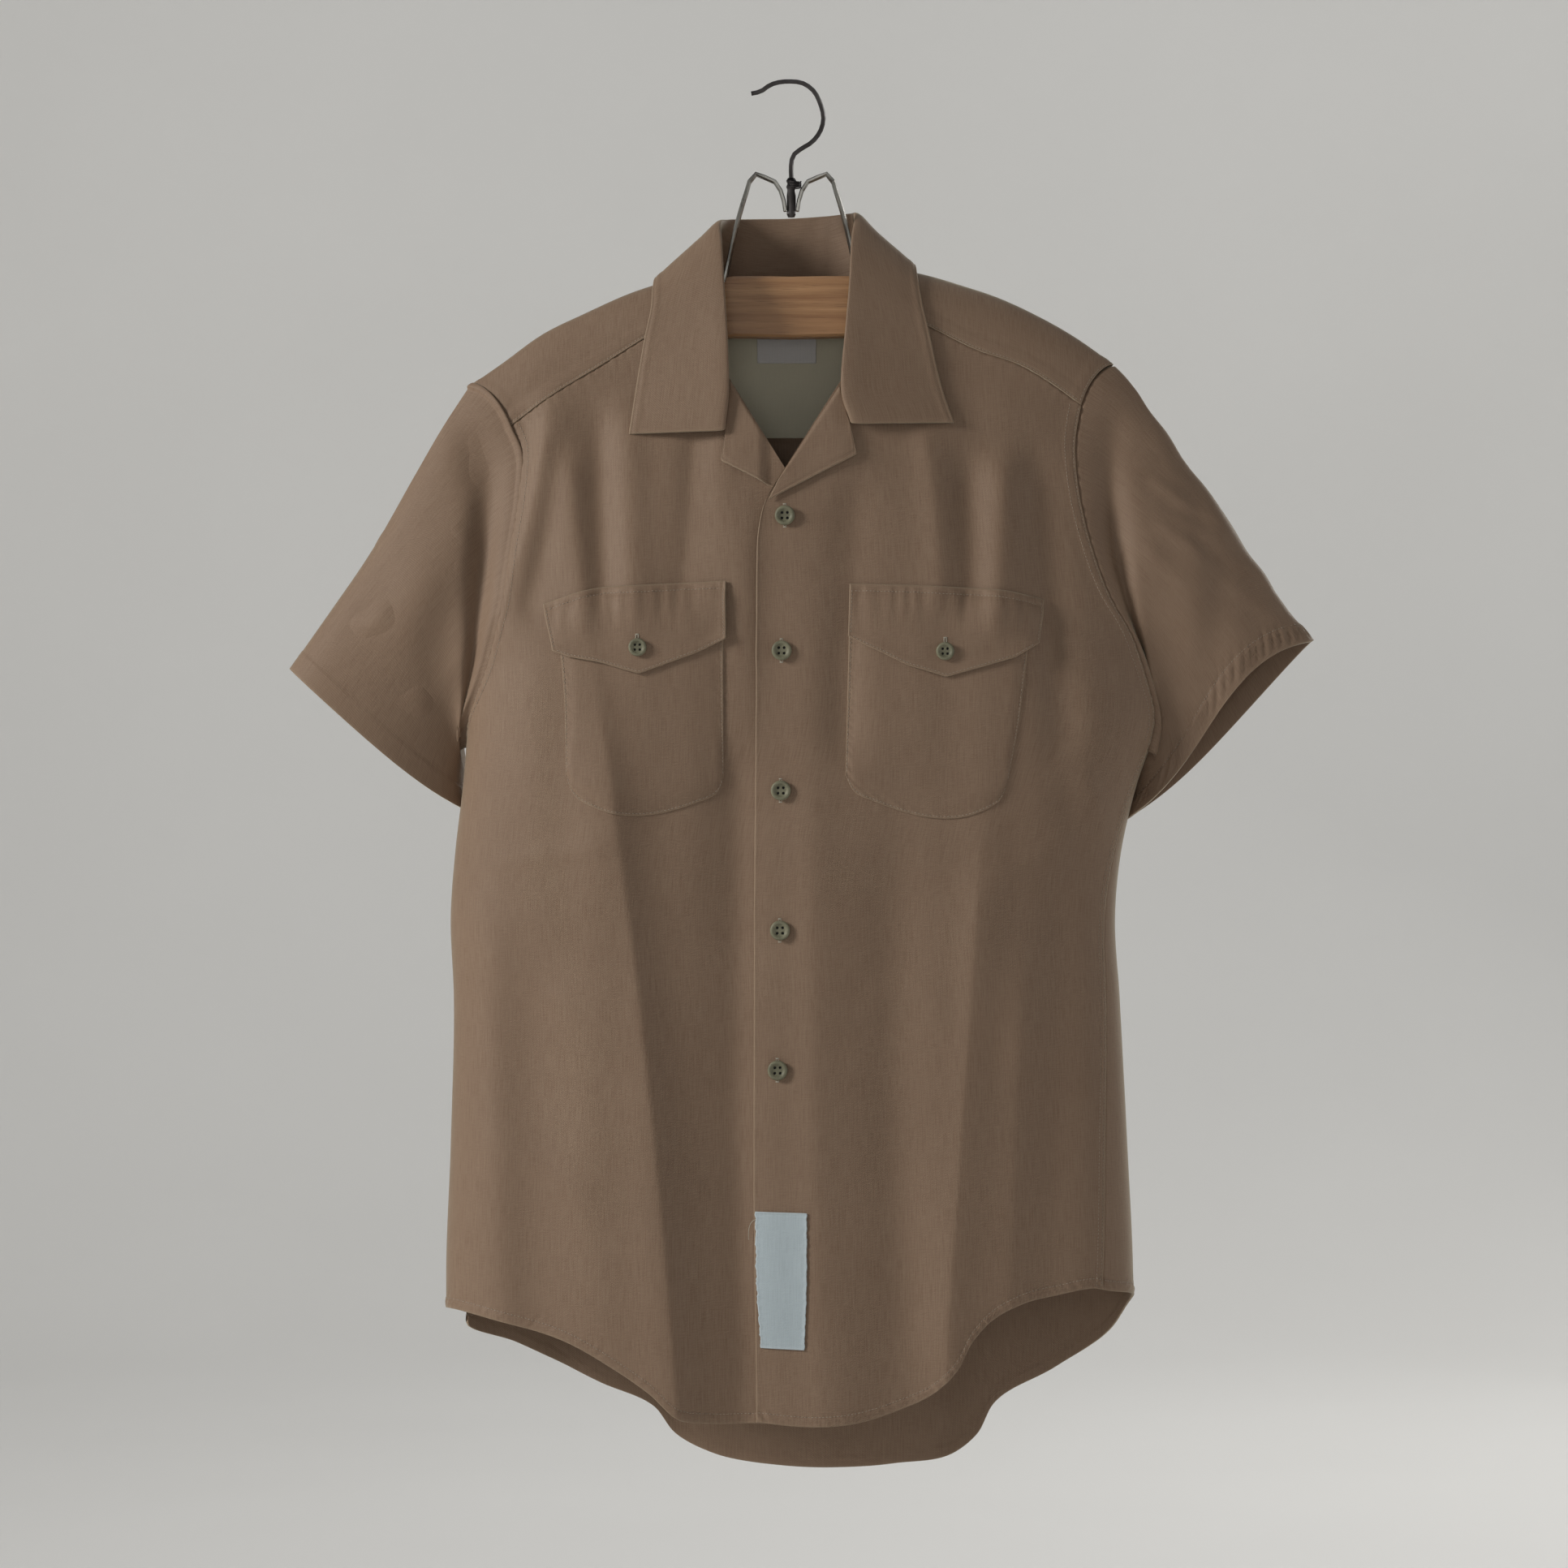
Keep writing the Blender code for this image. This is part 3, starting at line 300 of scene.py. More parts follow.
def body_y(x, z, front):
    """Depth of the body: round over the crest, fuller to the chest, round to each side, and folded."""
    drop = np.maximum(crest(x) - z, 0)
    top_depth = CREST_DEPTH + NECK_DEPTH * np.exp(-((x / NECK_REACH) ** 2))
    round_top = np.sqrt(1 - (1 - np.minimum(drop / CREST_ROUND, 1)) ** 2)
    full = np.where(front, smooth(z, BODY["z"], BODY["front"]), smooth(z, BODY["z"], BODY["back"]))
    depth = top_depth * round_top + (full - top_depth) * soft_step(drop / CHEST_DROP)
    place = np.clip((x - middle(z)) / half_width(z), -1, 1)
    side = np.sqrt(1 - place**2) * (1 + 0.5 * place**2)
    folded = fold_height(x, z, front) + np.where(front, crease_height(x, z), 0)
    folded = folded + wave_height(x, z) * soft_step((drop - 20) / 60)
    depth = depth * side + folded * (1 - place**6)
    return np.where(front, -depth, depth)


def body_ring(ring, z):
    """Point of the body surface from its place round the body and its height."""
    place = across(ring)
    x = middle(z) + half_width(z) * place
    return np.stack([x, body_y(x, z, on_front(ring)), z], axis=-1)


def body_face(x, z, front=True):
    """Point of the body surface behind a place in the front view."""
    return np.stack([x, body_y(x, z, np.full(np.shape(x), front)), z], axis=-1)


def body_over(x, over):
    """Point near the crest, where the height is the crest less the square of over: below 0 is in front."""
    z = crest(x) - over**2
    return np.stack([x, body_y(x, z, over < 0), z], axis=-1)


def unit(vectors):
    """Each vector divided by its length."""
    return vectors / np.linalg.norm(vectors, axis=-1, keepdims=True)


def surface_normals(place, u, v, step_u, step_v):
    """Directions square to a surface: the cross product of two small steps along it."""
    along_u = place(u + step_u, v) - place(u - step_u, v)
    along_v = place(u, v + step_v) - place(u, v - step_v)
    return unit(np.cross(along_u, along_v))


def ring_normals(ring, z):
    """Outward directions of the body surface."""
    return surface_normals(body_ring, ring, z, 0.004, 0.5)


def grid_normals(grid, around=False):
    """Directions square to a grid of points, from the differences to its own neighbours."""
    along_u = np.roll(grid, -1, axis=0) - np.roll(grid, 1, axis=0) if around else np.gradient(grid, axis=0)
    return unit(np.cross(along_u, np.gradient(grid, axis=1)))


heights = np.linspace(-880, -200, 5)
print("width of the body at", heights, "is", np.round(2 * half_width(heights)))

# %% [markdown]
# ## Seam lines and edges
# Two panels meet on one line, so each seam is written once and both panels read it. The places in front were
# measured on the photograph. Those behind are judged from the front, and lowered as far as a back is cut lower.

# %% Tables of seams and edges
SIDE = {
    "right": [(0.775, -791), (0.81, -697), (0.84, -625), (0.88, -520), (0.94, -440)],
    "left": [(-1.20, -812), (-1.17, -700), (-1.13, -600), (-1.08, -500), (-1.05, -437)],
}
YOKE_FRONT = {
    "left": [(-57, -150), (-96, -169.5), (-121, -185), (-157, -207), (-186, -228)],
    "right": [(56, -147), (92, -163), (121, -177), (152, -188), (169, -198), (190, -213)],
}
ARMHOLE_FRONT = {
    "left": [(-186, -228), (-179.5, -243), (-179.5, -271), (-185, -309), (-192, -355), (-203, -395)],
    "right": [(190, -213), (186, -237), (188, -270), (196, -307), (208.5, -341), (223, -367), (233, -397),
              (237.5, -423)],
}
ARMHOLE_BACK = {
    "left": [(-190, -232), (-184, -270), (-188, -310), (-197, -350), (-205, -395)],
    "right": [(192, -226), (190, -270), (199, -310), (212, -350), (228, -395)],
}
ROLL = {"left": [(-3, -258), (-40, -198)], "right": [(-9, -264), (32, -199)]}
NECK_FRONT = {"left": [(-40, -198), (-51, -172), (-57, -150)], "right": [(32, -199), (48, -170), (56, -147)]}
NECK_BACK = [(-57, -130), (-40, -134), (0, -137), (38, -134), (56, -129)]
YOKE_BACK = [(-190, -232), (-100, -233), (0, -233), (100, -231), (192, -226)]
FASTENING = {
    "right": filled([(-22.6, -874.7), (-24.5, -720), (-24.2, -560), (-22.6, -320), (-21.4, -296),
                     (-17.5, -279), (-9, -264)]),
    "left": filled([(14, -877), (14, -330), (12, -292), (-3, -258)]),
}
HEM = {
    "left": [(14, -877.5), (-23, -876), (-50, -876), (-70, -873), (-92, -855), (-113, -841), (-144, -824),
             (-181, -813), (-214, -806)],
    "right": [(-22.6, -874.7), (13, -877), (45, -874), (66, -868), (92, -856), (106, -842), (118, -821),
              (131, -808), (150, -798.5), (171, -794), (200, -790.5)],
}
HEM_BACK = [(222, -806), (212, -824), (177, -851), (136, -877), (124, -899), (108, -912), (70, -918),
            (-8, -918), (-52, -911), (-78, -898), (-92, -880), (-128, -863), (-183, -835), (-215, -818)]
RING_WEIGHT = np.array([220.0, 1.0])
OVER_WEIGHT = np.array([1.0, 12.0])


def to_ring(points, front=True):
    """Places in the front view as places round the body."""
    points = np.array(points, float)
    return np.stack([ring_of(points[:, 0], points[:, 1], front), points[:, 1]], axis=1)


def ring_rule(points):
    """Rule for a curve round the body, with width weighed against height so that its steps are even."""
    return lambda shares: curve_at(np.array(points) * RING_WEIGHT, shares) / RING_WEIGHT


def over_rule(points):
    """The same for a curve over the shoulder."""
    return lambda shares: curve_at(np.array(points) * OVER_WEIGHT, shares) / OVER_WEIGHT


def to_over(points, front):
    """Places in the front view as (x, over), the root of the drop below the crest."""
    points = np.array(points, float)
    drop = np.sqrt(np.maximum(crest(points[:, 0]) - points[:, 1], 0))
    return np.stack([points[:, 0], -drop if front else drop], axis=1)


def reversed_rule(rule):
    """The same curve, taken from its far end."""
    return lambda shares: rule(1 - np.asarray(shares))


side_rule = {name: ring_rule(points) for name, points in SIDE.items()}
under_arm = {"left": (SIDE["left"][-1][0] + 4, SIDE["left"][-1][1]), "right": SIDE["right"][-1]}
armhole_front = {
    name: ring_rule(np.vstack([to_ring(ARMHOLE_FRONT[name]), SIDE[name][-1]])) for name in SIDE
}
armhole_back = {
    name: ring_rule(np.vstack([to_ring(ARMHOLE_BACK[name], False), under_arm[name]])) for name in SIDE
}
armhole_over = {
    name: over_rule([to_over([YOKE_FRONT[name][-1]], True)[0], (top, 0.0), to_over([YOKE_BACK[end]], False)[0]])
    for name, top, end in (("left", -212.0, 0), ("right", 212.0, -1))
}

# %% [markdown]
# ## From a grid to a sheet of cloth
# A panel is a grid of points. Its outer skin, its inner skin and the rim between them make one closed sheet as
# thick as the folded cloth. Grid lines lie close together beside each edge, because there the sewing raises
# hems, draws in seams and puckers the cloth. The grain runs down the panel, so the panel also carries a flat
# pattern of itself in metres, which the weave is drawn on.

# %% Grids and sheets
WALL = 0.9
EDGE_LINES = np.array([0, 0.7, 1.4, 2.2, 3.2, 4.4, 5.6, 7.0, 8.4, 10.0, 12.0])
SHORT = EDGE_LINES[:6]
TUCK_LINES = np.array([0.8, 2.2, 4.2])
TUCK_DEPTH, TUCK_MORE = 0.62, 0.6


def spread(length, pitch, first=EDGE_LINES, last=EDGE_LINES):
    """Shares of a length: lines close together beside both edges, then evenly at about the pitch."""
    count = int(math.ceil((length - first[-1] - last[-1]) / pitch))
    inner = np.linspace(first[-1], length - last[-1], count + 1)[1:-1]
    return np.concatenate([first, inner, length - last[::-1]]) / length


def extended(places, axis, end, tucked):
    """Grid with extra lines past one edge: a seam allowance under the next piece where tucked is 1."""
    places = places if axis == 0 else places.swapaxes(0, 1)
    edge, near = (places[0], places[1]) if end == 0 else (places[-1], places[-2])
    reach = (TUCK_LINES / EDGE_LINES[1])[:, None] * (0.08 + 0.92 * tucked)
    more = edge + (edge - near) * reach[..., None]
    places = np.concatenate([more[::-1], places]) if end == 0 else np.concatenate([places, more])
    return places if axis == 0 else places.swapaxes(0, 1)


def tucked_under(distance):
    """How far a piece sinks to pass under its neighbour: a soft step at the edge, and deeper beyond it."""
    return TUCK_DEPTH * soft_step((1.5 - distance) / 1.5) + TUCK_MORE * soft_step(-distance / 1.8)


def thinned(distance):
    """Thickness taken off the inner side of an edge that lies on top, so that it makes a low step."""
    return 0.36 * soft_step((1.8 - distance) / 1.8)


def run_along(grid, axis):
    """Running length along one way of the grid, from its first line."""
    steps = np.linalg.norm(np.diff(grid, axis=axis), axis=-1)
    return np.cumsum(np.insert(steps, 0, 0, axis=axis), axis=axis)


def add_mesh(name, points, faces, finish, flat=None, flat_of=None, marks=None):
    """One smooth mesh from whole arrays, in millimetres, turned so that its faces look outward."""
    corner = points[faces]
    fan = np.cross(corner[:, 1:-1] - corner[:, :1], corner[:, 2:] - corner[:, :1])
    if (fan * corner[:, :1]).sum() < 0:
        faces = faces[:, ::-1]
        flat_of = None if flat_of is None else flat_of[:, ::-1]
    mesh = bpy.data.meshes.new(name)
    mesh.vertices.add(len(points))
    mesh.vertices.foreach_set("co", (points * METRE).astype(np.float32).ravel())
    mesh.loops.add(faces.size)
    mesh.loops.foreach_set("vertex_index", faces.astype(np.int32).ravel())
    mesh.polygons.add(len(faces))
    mesh.polygons.foreach_set("loop_start", np.arange(0, faces.size, faces.shape[1], dtype=np.int32))
    mesh.update(calc_edges=True)
    if flat is not None:
        layer = mesh.uv_layers.new(name="Cloth")
        layer.data.foreach_set("uv", (flat[flat_of] * METRE).astype(np.float32).ravel())
    if marks is not None:
        # The edge attribute carries the lighter tone painted along cloth edges and the painted shade in the
        # buttons' holes.
        attribute = mesh.attributes.new("edge", "FLOAT", "POINT")
        attribute.data.foreach_set("value", marks.astype(np.float32).ravel())
    mesh.materials.append(finish)
    mesh.validate()
    mesh.shade_smooth()
    piece = bpy.data.objects.new(name, mesh)
    bpy.context.scene.collection.objects.link(piece)
    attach(piece, "root")
    return piece


def add_sheet(name, grid, normal, finish, outer, inner, flat, around=False, marks=None):
    """Closed sheet: the grid moved out by outer and in by inner along its normals, and the rims between."""
    skin = grid + normal * outer[..., None]
    lining = grid - normal * inner[..., None]
    count_u, count_v = grid.shape[:2]
    points = np.concatenate([skin.reshape(-1, 3), lining.reshape(-1, 3)])
    columns_u = count_u + 1 if around else count_u
    number = (np.arange(columns_u) % count_u)[:, None] * count_v + np.arange(count_v)
    place = np.arange(columns_u * count_v).reshape(columns_u, count_v)

    def quads(index, back):
        """Cells of both skins, then the rims along the grid's edges."""
        faces = [
            (index[:-1, :-1], index[1:, :-1], index[1:, 1:], index[:-1, 1:]),
            (back[:-1, :-1], back[:-1, 1:], back[1:, 1:], back[1:, :-1]),
            (index[:-1, 0], back[:-1, 0], back[1:, 0], index[1:, 0]),
            (index[:-1, -1], index[1:, -1], back[1:, -1], back[:-1, -1]),
        ]
        if not around:
            faces.append((index[0, :-1], index[0, 1:], back[0, 1:], back[0, :-1]))
            faces.append((index[-1, :-1], back[-1, :-1], back[-1, 1:], index[-1, 1:]))
        return np.concatenate([np.stack(corners, axis=-1).reshape(-1, 4) for corners in faces])

    faces = quads(number, number + count_u * count_v)
    flat_of = quads(place, place + columns_u * count_v)
    both = np.concatenate([flat.reshape(-1, 2)] * 2)
    marks = None if marks is None else np.concatenate([marks.ravel(), marks.ravel()])
    return add_mesh(name, points, faces, finish, both, flat_of, marks), skin


def cloth_area(grid):
    """Area of a grid in square metres: half the cross product of each cell's diagonals."""
    first = grid[1:, 1:] - grid[:-1, :-1]
    second = grid[1:, :-1] - grid[:-1, 1:]
    return np.linalg.norm(np.cross(first, second), axis=-1).sum() / 2 * METRE**2


# %% [markdown]
# ## The twill
# The cloth is a fine mixed twill: warp threads of slightly uneven thickness run down it as pale streaks, the
# weft shows as fainter cross streaks, and the surface has a faintly green sheen where it turns. It is built
# from stretched noise on the flat pattern, a fine diagonal rib for the relief, and a lighter tone painted
# along folded edges.


# %% Finishes
class Finish:
    """A procedural finish, built node by node on one shader."""

    def __init__(self, name, **values):
        self.material = bpy.data.materials.new(name)
        self.material.use_nodes = True
        self.tree = self.material.node_tree
        self.shader = self.tree.nodes["Principled BSDF"]
        for socket, value in values.items():
            self.feed(self.shader.inputs[socket.replace("_", " ")], value)

    def feed(self, socket, value):
        if isinstance(value, bpy.types.NodeSocket):
            self.tree.links.new(value, socket)
        else:
            socket.default_value = value

    def add(self, kind, inputs=None, output=0, **settings):
        made = self.tree.nodes.new("ShaderNode" + kind)
        for name, value in settings.items():
            setattr(made, name, value)
        for socket, value in (inputs or {}).items():
            self.feed(made.inputs[socket], value)
        return made.outputs[output]

    def noise(self, place, stretch, detail=2.0, roughness=0.5):
        """Noise stretched by a different number of cells a metre each way."""
        scaled = self.add("VectorMath", {0: place, 1: stretch}, operation="MULTIPLY")
        inputs = {"Vector": scaled, "Scale": 1.0, "Detail": detail, "Roughness": roughness}
        return self.add("TexNoise", inputs)

    def maths(self, operation, first, second=0.0):
        return self.add("Math", {0: first, 1: second}, operation=operation)

    def spread(self, value, low, high, to_low=0.0, to_high=1.0):
        """A value carried from one range to another, and held inside it."""
        return self.add("MapRange", {"Value": value, "From Min": low, "From Max": high, "To Min": to_low,
                                     "To Max": to_high})

    def mix(self, factor, first, second, blend="MIX"):
        """Two colours mixed."""
        made = self.tree.nodes.new("ShaderNodeMix")
        made.data_type = "RGBA"
        made.blend_type = blend
        for socket, value in ((0, factor), (6, first), (7, second)):
            self.feed(made.inputs[socket], value)
        return made.outputs[2]

    def relief(self, height, distance, strength=1.0, under=None):
        """Bump from a height, on top of another bump if one is given."""
        inputs = {"Height": height, "Distance": distance, "Strength": strength}
        if under is not None:
            inputs["Normal"] = under
        return self.add("Bump", inputs)


def make_twill(name, deep, tone, pale, rough=0.62, sheen=0.35, streaks=1.0):
    """Cloth on its flat pattern: fine warp and weft streaks, faint slubs, broad mottling and a lighter tone
    along edges.
    """
    f = Finish(name, Roughness=rough, Sheen_Weight=sheen, Sheen_Roughness=0.35)
    f.shader.inputs["Sheen Tint"].default_value = (0.86, 0.88, 0.70, 1)
    f.shader.inputs["Specular IOR Level"].default_value = 0.32
    flat = f.add("UVMap", uv_map="Cloth")
    warp = f.noise(flat, (1900, 60, 1), 2.0, 0.6)
    weft = f.noise(flat, (140, 1700, 1), 1.0, 0.5)
    slub = f.noise(flat, (760, 11, 1), 2.0)
    mottle = f.noise(flat, (22, 13, 1), 3.0)
    streak = f.maths("ADD", f.maths("MULTIPLY", warp, 0.72), f.maths("MULTIPLY", weft, 0.28))
    colour = f.mix(f.spread(streak, 0.38, 0.66, 0.0, 0.2 * streaks), tone, pale)
    colour = f.mix(f.spread(streak, 0.52, 0.36, 0.0, 0.25 * streaks), colour, deep)
    colour = f.mix(f.spread(slub, 0.56, 0.78, 0.0, 0.11 * streaks), colour, pale)
    colour = f.mix(f.spread(mottle, 0.35, 0.7, 0.0, 0.12), colour, deep)
    # A lighter tone painted along folded edges, where the edge mark is set.
    edge_tone = f.add("Attribute", output="Fac", attribute_name="edge")
    colour = f.mix(f.spread(edge_tone, 0.0, 1.0, 0.0, 0.4), colour, pale)
    f.feed(f.shader.inputs["Base Color"], colour)
    turned = f.add("VectorRotate", {"Vector": flat, "Angle": 0.95}, rotation_type="Z_AXIS")
    ribs = {"Vector": turned, "Scale": 300.0, "Distortion": 1.2, "Detail": 1.0, "Detail Scale": 2.0}
    rib = f.add("TexWave", ribs, wave_type="BANDS", bands_direction="X")
    woven = f.relief(rib, 0.0001, 0.4)
    f.feed(f.shader.inputs["Normal"], f.relief(streak, 0.0004, 0.25, woven))
    return f.material


twill = make_twill("twill", (0.165, 0.096, 0.058, 1), (0.262, 0.172, 0.116, 1), (0.43, 0.335, 0.235, 1),
                   sheen=0.5)
print("finish", twill.name, "has", len(twill.node_tree.nodes), "nodes")

# %% [markdown]
# ## Fronts
# Each front runs from the curved hem up to the yoke, and from the fastening out to the side seam and the
# armhole. The hem is rolled twice and puckers under its stitching. The armhole is felled: the body laps over
# the sleeve, with two rows of stitches. The front on the viewer's right laps over the other one.

# %% Make the fronts
LAP_STEP, PUCKER = 1.9, 5.2
ARMHOLE_BAND, SIDE_BAND = 9.0, 5.4
# How many parts of a panel's height are side seam and armhole, and where the armhole starts
SIDE_PARTS, ARM_PARTS = 12, 9
ARM_START = SIDE_PARTS / (SIDE_PARTS + ARM_PARTS)
# How many parts of a front's top are roll, neck and yoke seam, and where the yoke starts
ROLL_PARTS, NECK_PARTS, YOKE_PARTS = 4, 4, 9
YOKE_START = (ROLL_PARTS + NECK_PARTS) / (ROLL_PARTS + NECK_PARTS + YOKE_PARTS)
# Millimetres of cloth for each step round the body, and for each step of over across the shoulder
RING_STEP, OVER_STEP = 240, 11
skins = {}


def puckers(run, pitch=PUCKER, slant=0.0):
    """Uneven small waves along a seam, from -1 to 1: a sine whose phase wanders."""
    phase = 2 * math.pi * run / pitch + slant
    return np.sin(phase + 1.6 * np.sin(phase * 0.137 + 1) + 0.8 * np.sin(phase * 0.31))


def hem_relief(distance, run, width=7.0):
    """Rolled hem: a raised band, a ditch at its stitches, and slanting puckers that pull on the cloth above."""
    band = 0.55 * soft_step((width + 0.8 - distance) / 1.6)
    ditch = -0.5 * bump(distance, width - 0.6, 0.9)
    fading = np.exp(-np.maximum(distance - width, 0) / 3) * soft_step(distance / 2)
    return band + ditch + 0.42 * puckers(run + 0.7 * distance) * fading


def fell_relief(distance, run, width, strength=0.2):
    """Felled seam: a raised band with a ditch at each of its two rows of stitches, and slight puckers."""
    band = 0.45 * soft_step((width + 0.7 - distance) / 1.2)
    ditches = -0.35 * bump(distance, 1.4, 0.6) - 0.35 * bump(distance, width - 0.8, 0.7)
    pulled = strength * puckers(run, 6.4) * np.exp(-np.maximum(distance - width, 0) / 4)
    return band + ditches + pulled


def edge_light(*distances):
    """Mark for the lighter tone along edges: 1 at an edge, gone at about a millimetre and a half."""
    return np.maximum.reduce([np.exp(-np.maximum(d, 0) / 0.8) for d in distances])


def with_tuck(v):
    """Values down a panel, with a 1 for each of the tucked lines past its end."""
    return np.concatenate([v, np.full(len(TUCK_LINES), 1.0)])


def add_front(side, name):
    """Front panel from its four edges, with its hem, armhole, side seam and fastening edge."""
    u = spread(285, 2.0)
    v = spread(640, 4.0)
    top = joined_at(
        u,
        (ROLL_PARTS, lambda s: to_ring(curve_at(ROLL[side], s))),
        (NECK_PARTS, lambda s: to_ring(curve_at(NECK_FRONT[side], s))),
        (YOKE_PARTS, lambda s: to_ring(curve_at(YOKE_FRONT[side], s))),
    )
    outer = joined_at(v, (SIDE_PARTS, side_rule[side]), (ARM_PARTS, reversed_rule(armhole_front[side])))
    bottom = ring_rule(np.vstack([to_ring(HEM[side]), SIDE[side][0]]))(u)
    inner = ring_rule(to_ring(FASTENING[side]))(v)
    under_yoke = soft_step((u - YOKE_START) * 40)
    places = extended(coons(bottom, top, inner, outer, u, v), 1, 1, under_yoke)
    grid = body_ring(places[..., 0], places[..., 1])
    normal = ring_normals(places[..., 0], places[..., 1])
    seam_row = len(v) - 1
    across_run = run_along(grid, 0)
    down_run = run_along(grid, 1)
    from_fastening = across_run
    from_side = across_run[-1:] - across_run
    from_hem = down_run
    from_top = down_run[:, seam_row:seam_row + 1] - down_run
    under_yoke = under_yoke[:, None]
    in_armhole = soft_step((with_tuck(v) - ARM_START) * 60)[None, :]
    lift = hem_relief(from_hem, across_run)
    lift = lift + in_armhole * fell_relief(from_side, down_run, ARMHOLE_BAND)
    lift = lift + (1 - in_armhole) * fell_relief(from_side, down_run, SIDE_BAND)
    lift = lift - under_yoke * tucked_under(from_top)
    lift = lift + under_yoke * 0.3 * puckers(across_run, 7.0) * np.exp(-np.maximum(from_top, 0) / 5)
    lift = lift + 0.35 * bump(from_fastening, 0, 2.2) - 0.3 * soft_step((0.7 - from_fastening) / 0.7)
    if side == "left":
        lift = lift - LAP_STEP * soft_step((grid[..., 0] + 50) / 20)
    inner = WALL / 2 + 0.25 * soft_step((7.4 - from_hem) / 1.2) - thinned(from_side)
    flat = np.stack([places[..., 0] * RING_STEP, places[..., 1]], axis=-1)
    marks = edge_light(from_fastening, from_hem, from_side)
    inner = inner - np.minimum(lift, 0)
    piece, skin = add_sheet(name, grid, normal, twill, lift + WALL / 2, inner, flat, marks=marks)
    skins[name] = dict(skin=skin, normal=normal, side=from_side, hem=from_hem, share=with_tuck(v))
    return piece, cloth_area(grid[:, :seam_row + 1])


front_over, area_over = add_front("right", "cloth_front_over")
front_under, area_under = add_front("left", "cloth_front_under")
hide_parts("front_over")
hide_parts("front_under")
for piece, area in ((front_over, area_over), (front_under, area_under)):
    print(piece.name, "has", len(piece.data.polygons), "faces and", round(area, 4), "square metres of cloth")

# %% [markdown]
# ## Back and yoke
# The back hangs behind both fronts and is cut lower, so that its inside shows below their hems. The yoke is
# one horseshoe over both shoulders. Its folded edges lie on top of the fronts and the back.


# %% Make the back and the yoke
def add_back(name):
    """Back panel from one side seam, behind the arms, to the other, tucked under the fronts and the yoke."""
    u = spread(470, 2.6)
    v = spread(690, 4.2)
    arms = {side: (ARM_PARTS, reversed_rule(armhole_back[side])) for side in ("left", "right")}
    right = joined_at(v, (SIDE_PARTS, side_rule["right"]), arms["right"])
    left = joined_at(v, (SIDE_PARTS, lambda s: side_rule["left"](s) + np.array([4.0, 0.0])), arms["left"])
    top = ring_rule(to_ring(YOKE_BACK[::-1], False))(u)
    hem = ring_rule(np.vstack([right[0], to_ring(HEM_BACK, False), left[0]]))(u)
    at_side = 1 - soft_step((v - ARM_START) * 60)
    places = coons(hem, top, right, left, u, v)
    places = extended(extended(places, 0, 0, at_side), 0, 1, at_side)
    places = extended(places, 1, 1, np.ones(places.shape[0]))
    grid = body_ring(places[..., 0], places[..., 1])
    normal = ring_normals(places[..., 0], places[..., 1])
    edge, seam_row = len(TUCK_LINES), len(v) - 1
    across_run, down_run = run_along(grid, 0), run_along(grid, 1)
    from_right = across_run - across_run[edge]
    from_left = across_run[-1 - edge] - across_run
    from_top = down_run[:, seam_row:seam_row + 1] - down_run
    tucked = with_tuck(at_side)[None, :]
    lift = hem_relief(down_run, across_run)
    for distance in (from_right, from_left):
        lift = lift - tucked * tucked_under(distance)
        lift = lift + (1 - tucked) * fell_relief(np.maximum(distance, 0), down_run, ARMHOLE_BAND)
    lift = lift - tucked_under(from_top)
    lift = lift + 0.3 * puckers(across_run, 7.0) * np.exp(-np.maximum(from_top, 0) / 5)
    inner = WALL / 2 + 0.25 * soft_step((7.4 - down_run) / 1.2)
    inner = inner - (1 - tucked) * thinned(np.minimum(from_left, from_right))
    flat = np.stack([places[..., 0] * RING_STEP, places[..., 1]], axis=-1)
    marks = edge_light(down_run, from_right + 99 * tucked, from_left + 99 * tucked)
    inner = inner - np.minimum(lift, 0)
    piece, skin = add_sheet(name, grid, normal, twill, lift + WALL / 2, inner, flat, marks=marks)
    skins[name] = dict(skin=skin, normal=normal, hem=down_run, share=with_tuck(v))
    skins[name].update(left=from_left, right=from_right)
    return piece, cloth_area(grid[edge:-edge, :seam_row + 1])


def add_yoke(name):
    """Yoke from the neck to the shoulder seams and the back seam, with its folded edges standing proud."""
    u = spread(600, 2.6)
    v = spread(92, 3.2)
    outer = joined_at(
        u,
        (6, armhole_over["left"]),
        (20, over_rule(to_over(curve_at(YOKE_BACK, np.linspace(0, 1, 21)), False))),
        (6, reversed_rule(armhole_over["right"])),
    )
    left = to_over(curve_at(YOKE_FRONT["left"], v), True)
    right = to_over(curve_at(YOKE_FRONT["right"], v), True)
    neck = over_rule(np.vstack([left[0], (-64, 0), to_over(NECK_BACK, False), (62, 0), right[0]]))(u)
    places = coons(neck, outer, left, right, u, v)
    grid = body_over(places[..., 0], places[..., 1])
    normal = surface_normals(body_over, places[..., 0], places[..., 1], 0.5, 0.05)
    across_run, down_run = run_along(grid, 0), run_along(grid, 1)
    from_left, from_right = across_run, across_run[-1:] - across_run
    from_outer = down_run[:, -1:] - down_run
    lift = np.zeros(grid.shape[:2])
    for distance, run in ((from_left, down_run), (from_right, down_run), (from_outer, across_run)):
        lift = lift + 0.35 * soft_step((9.5 - distance) / 2) - 0.4 * bump(distance, 1.5, 0.7)
        lift = lift + 0.2 * puckers(run, 6.5) * np.exp(-distance / 6)
    flat = np.stack([places[..., 0], -places[..., 1] * OVER_STEP], axis=-1)
    marks = edge_light(from_left, from_right, from_outer)
    inner = WALL / 2 - thinned(np.minimum(np.minimum(from_left, from_right), from_outer))
    piece, skin = add_sheet(name, grid, normal, twill, lift + WALL / 2, inner, flat, marks=marks)
    skins[name] = dict(skin=skin, normal=normal, left=from_left, right=from_right, outer=from_outer)
    return piece, cloth_area(grid)


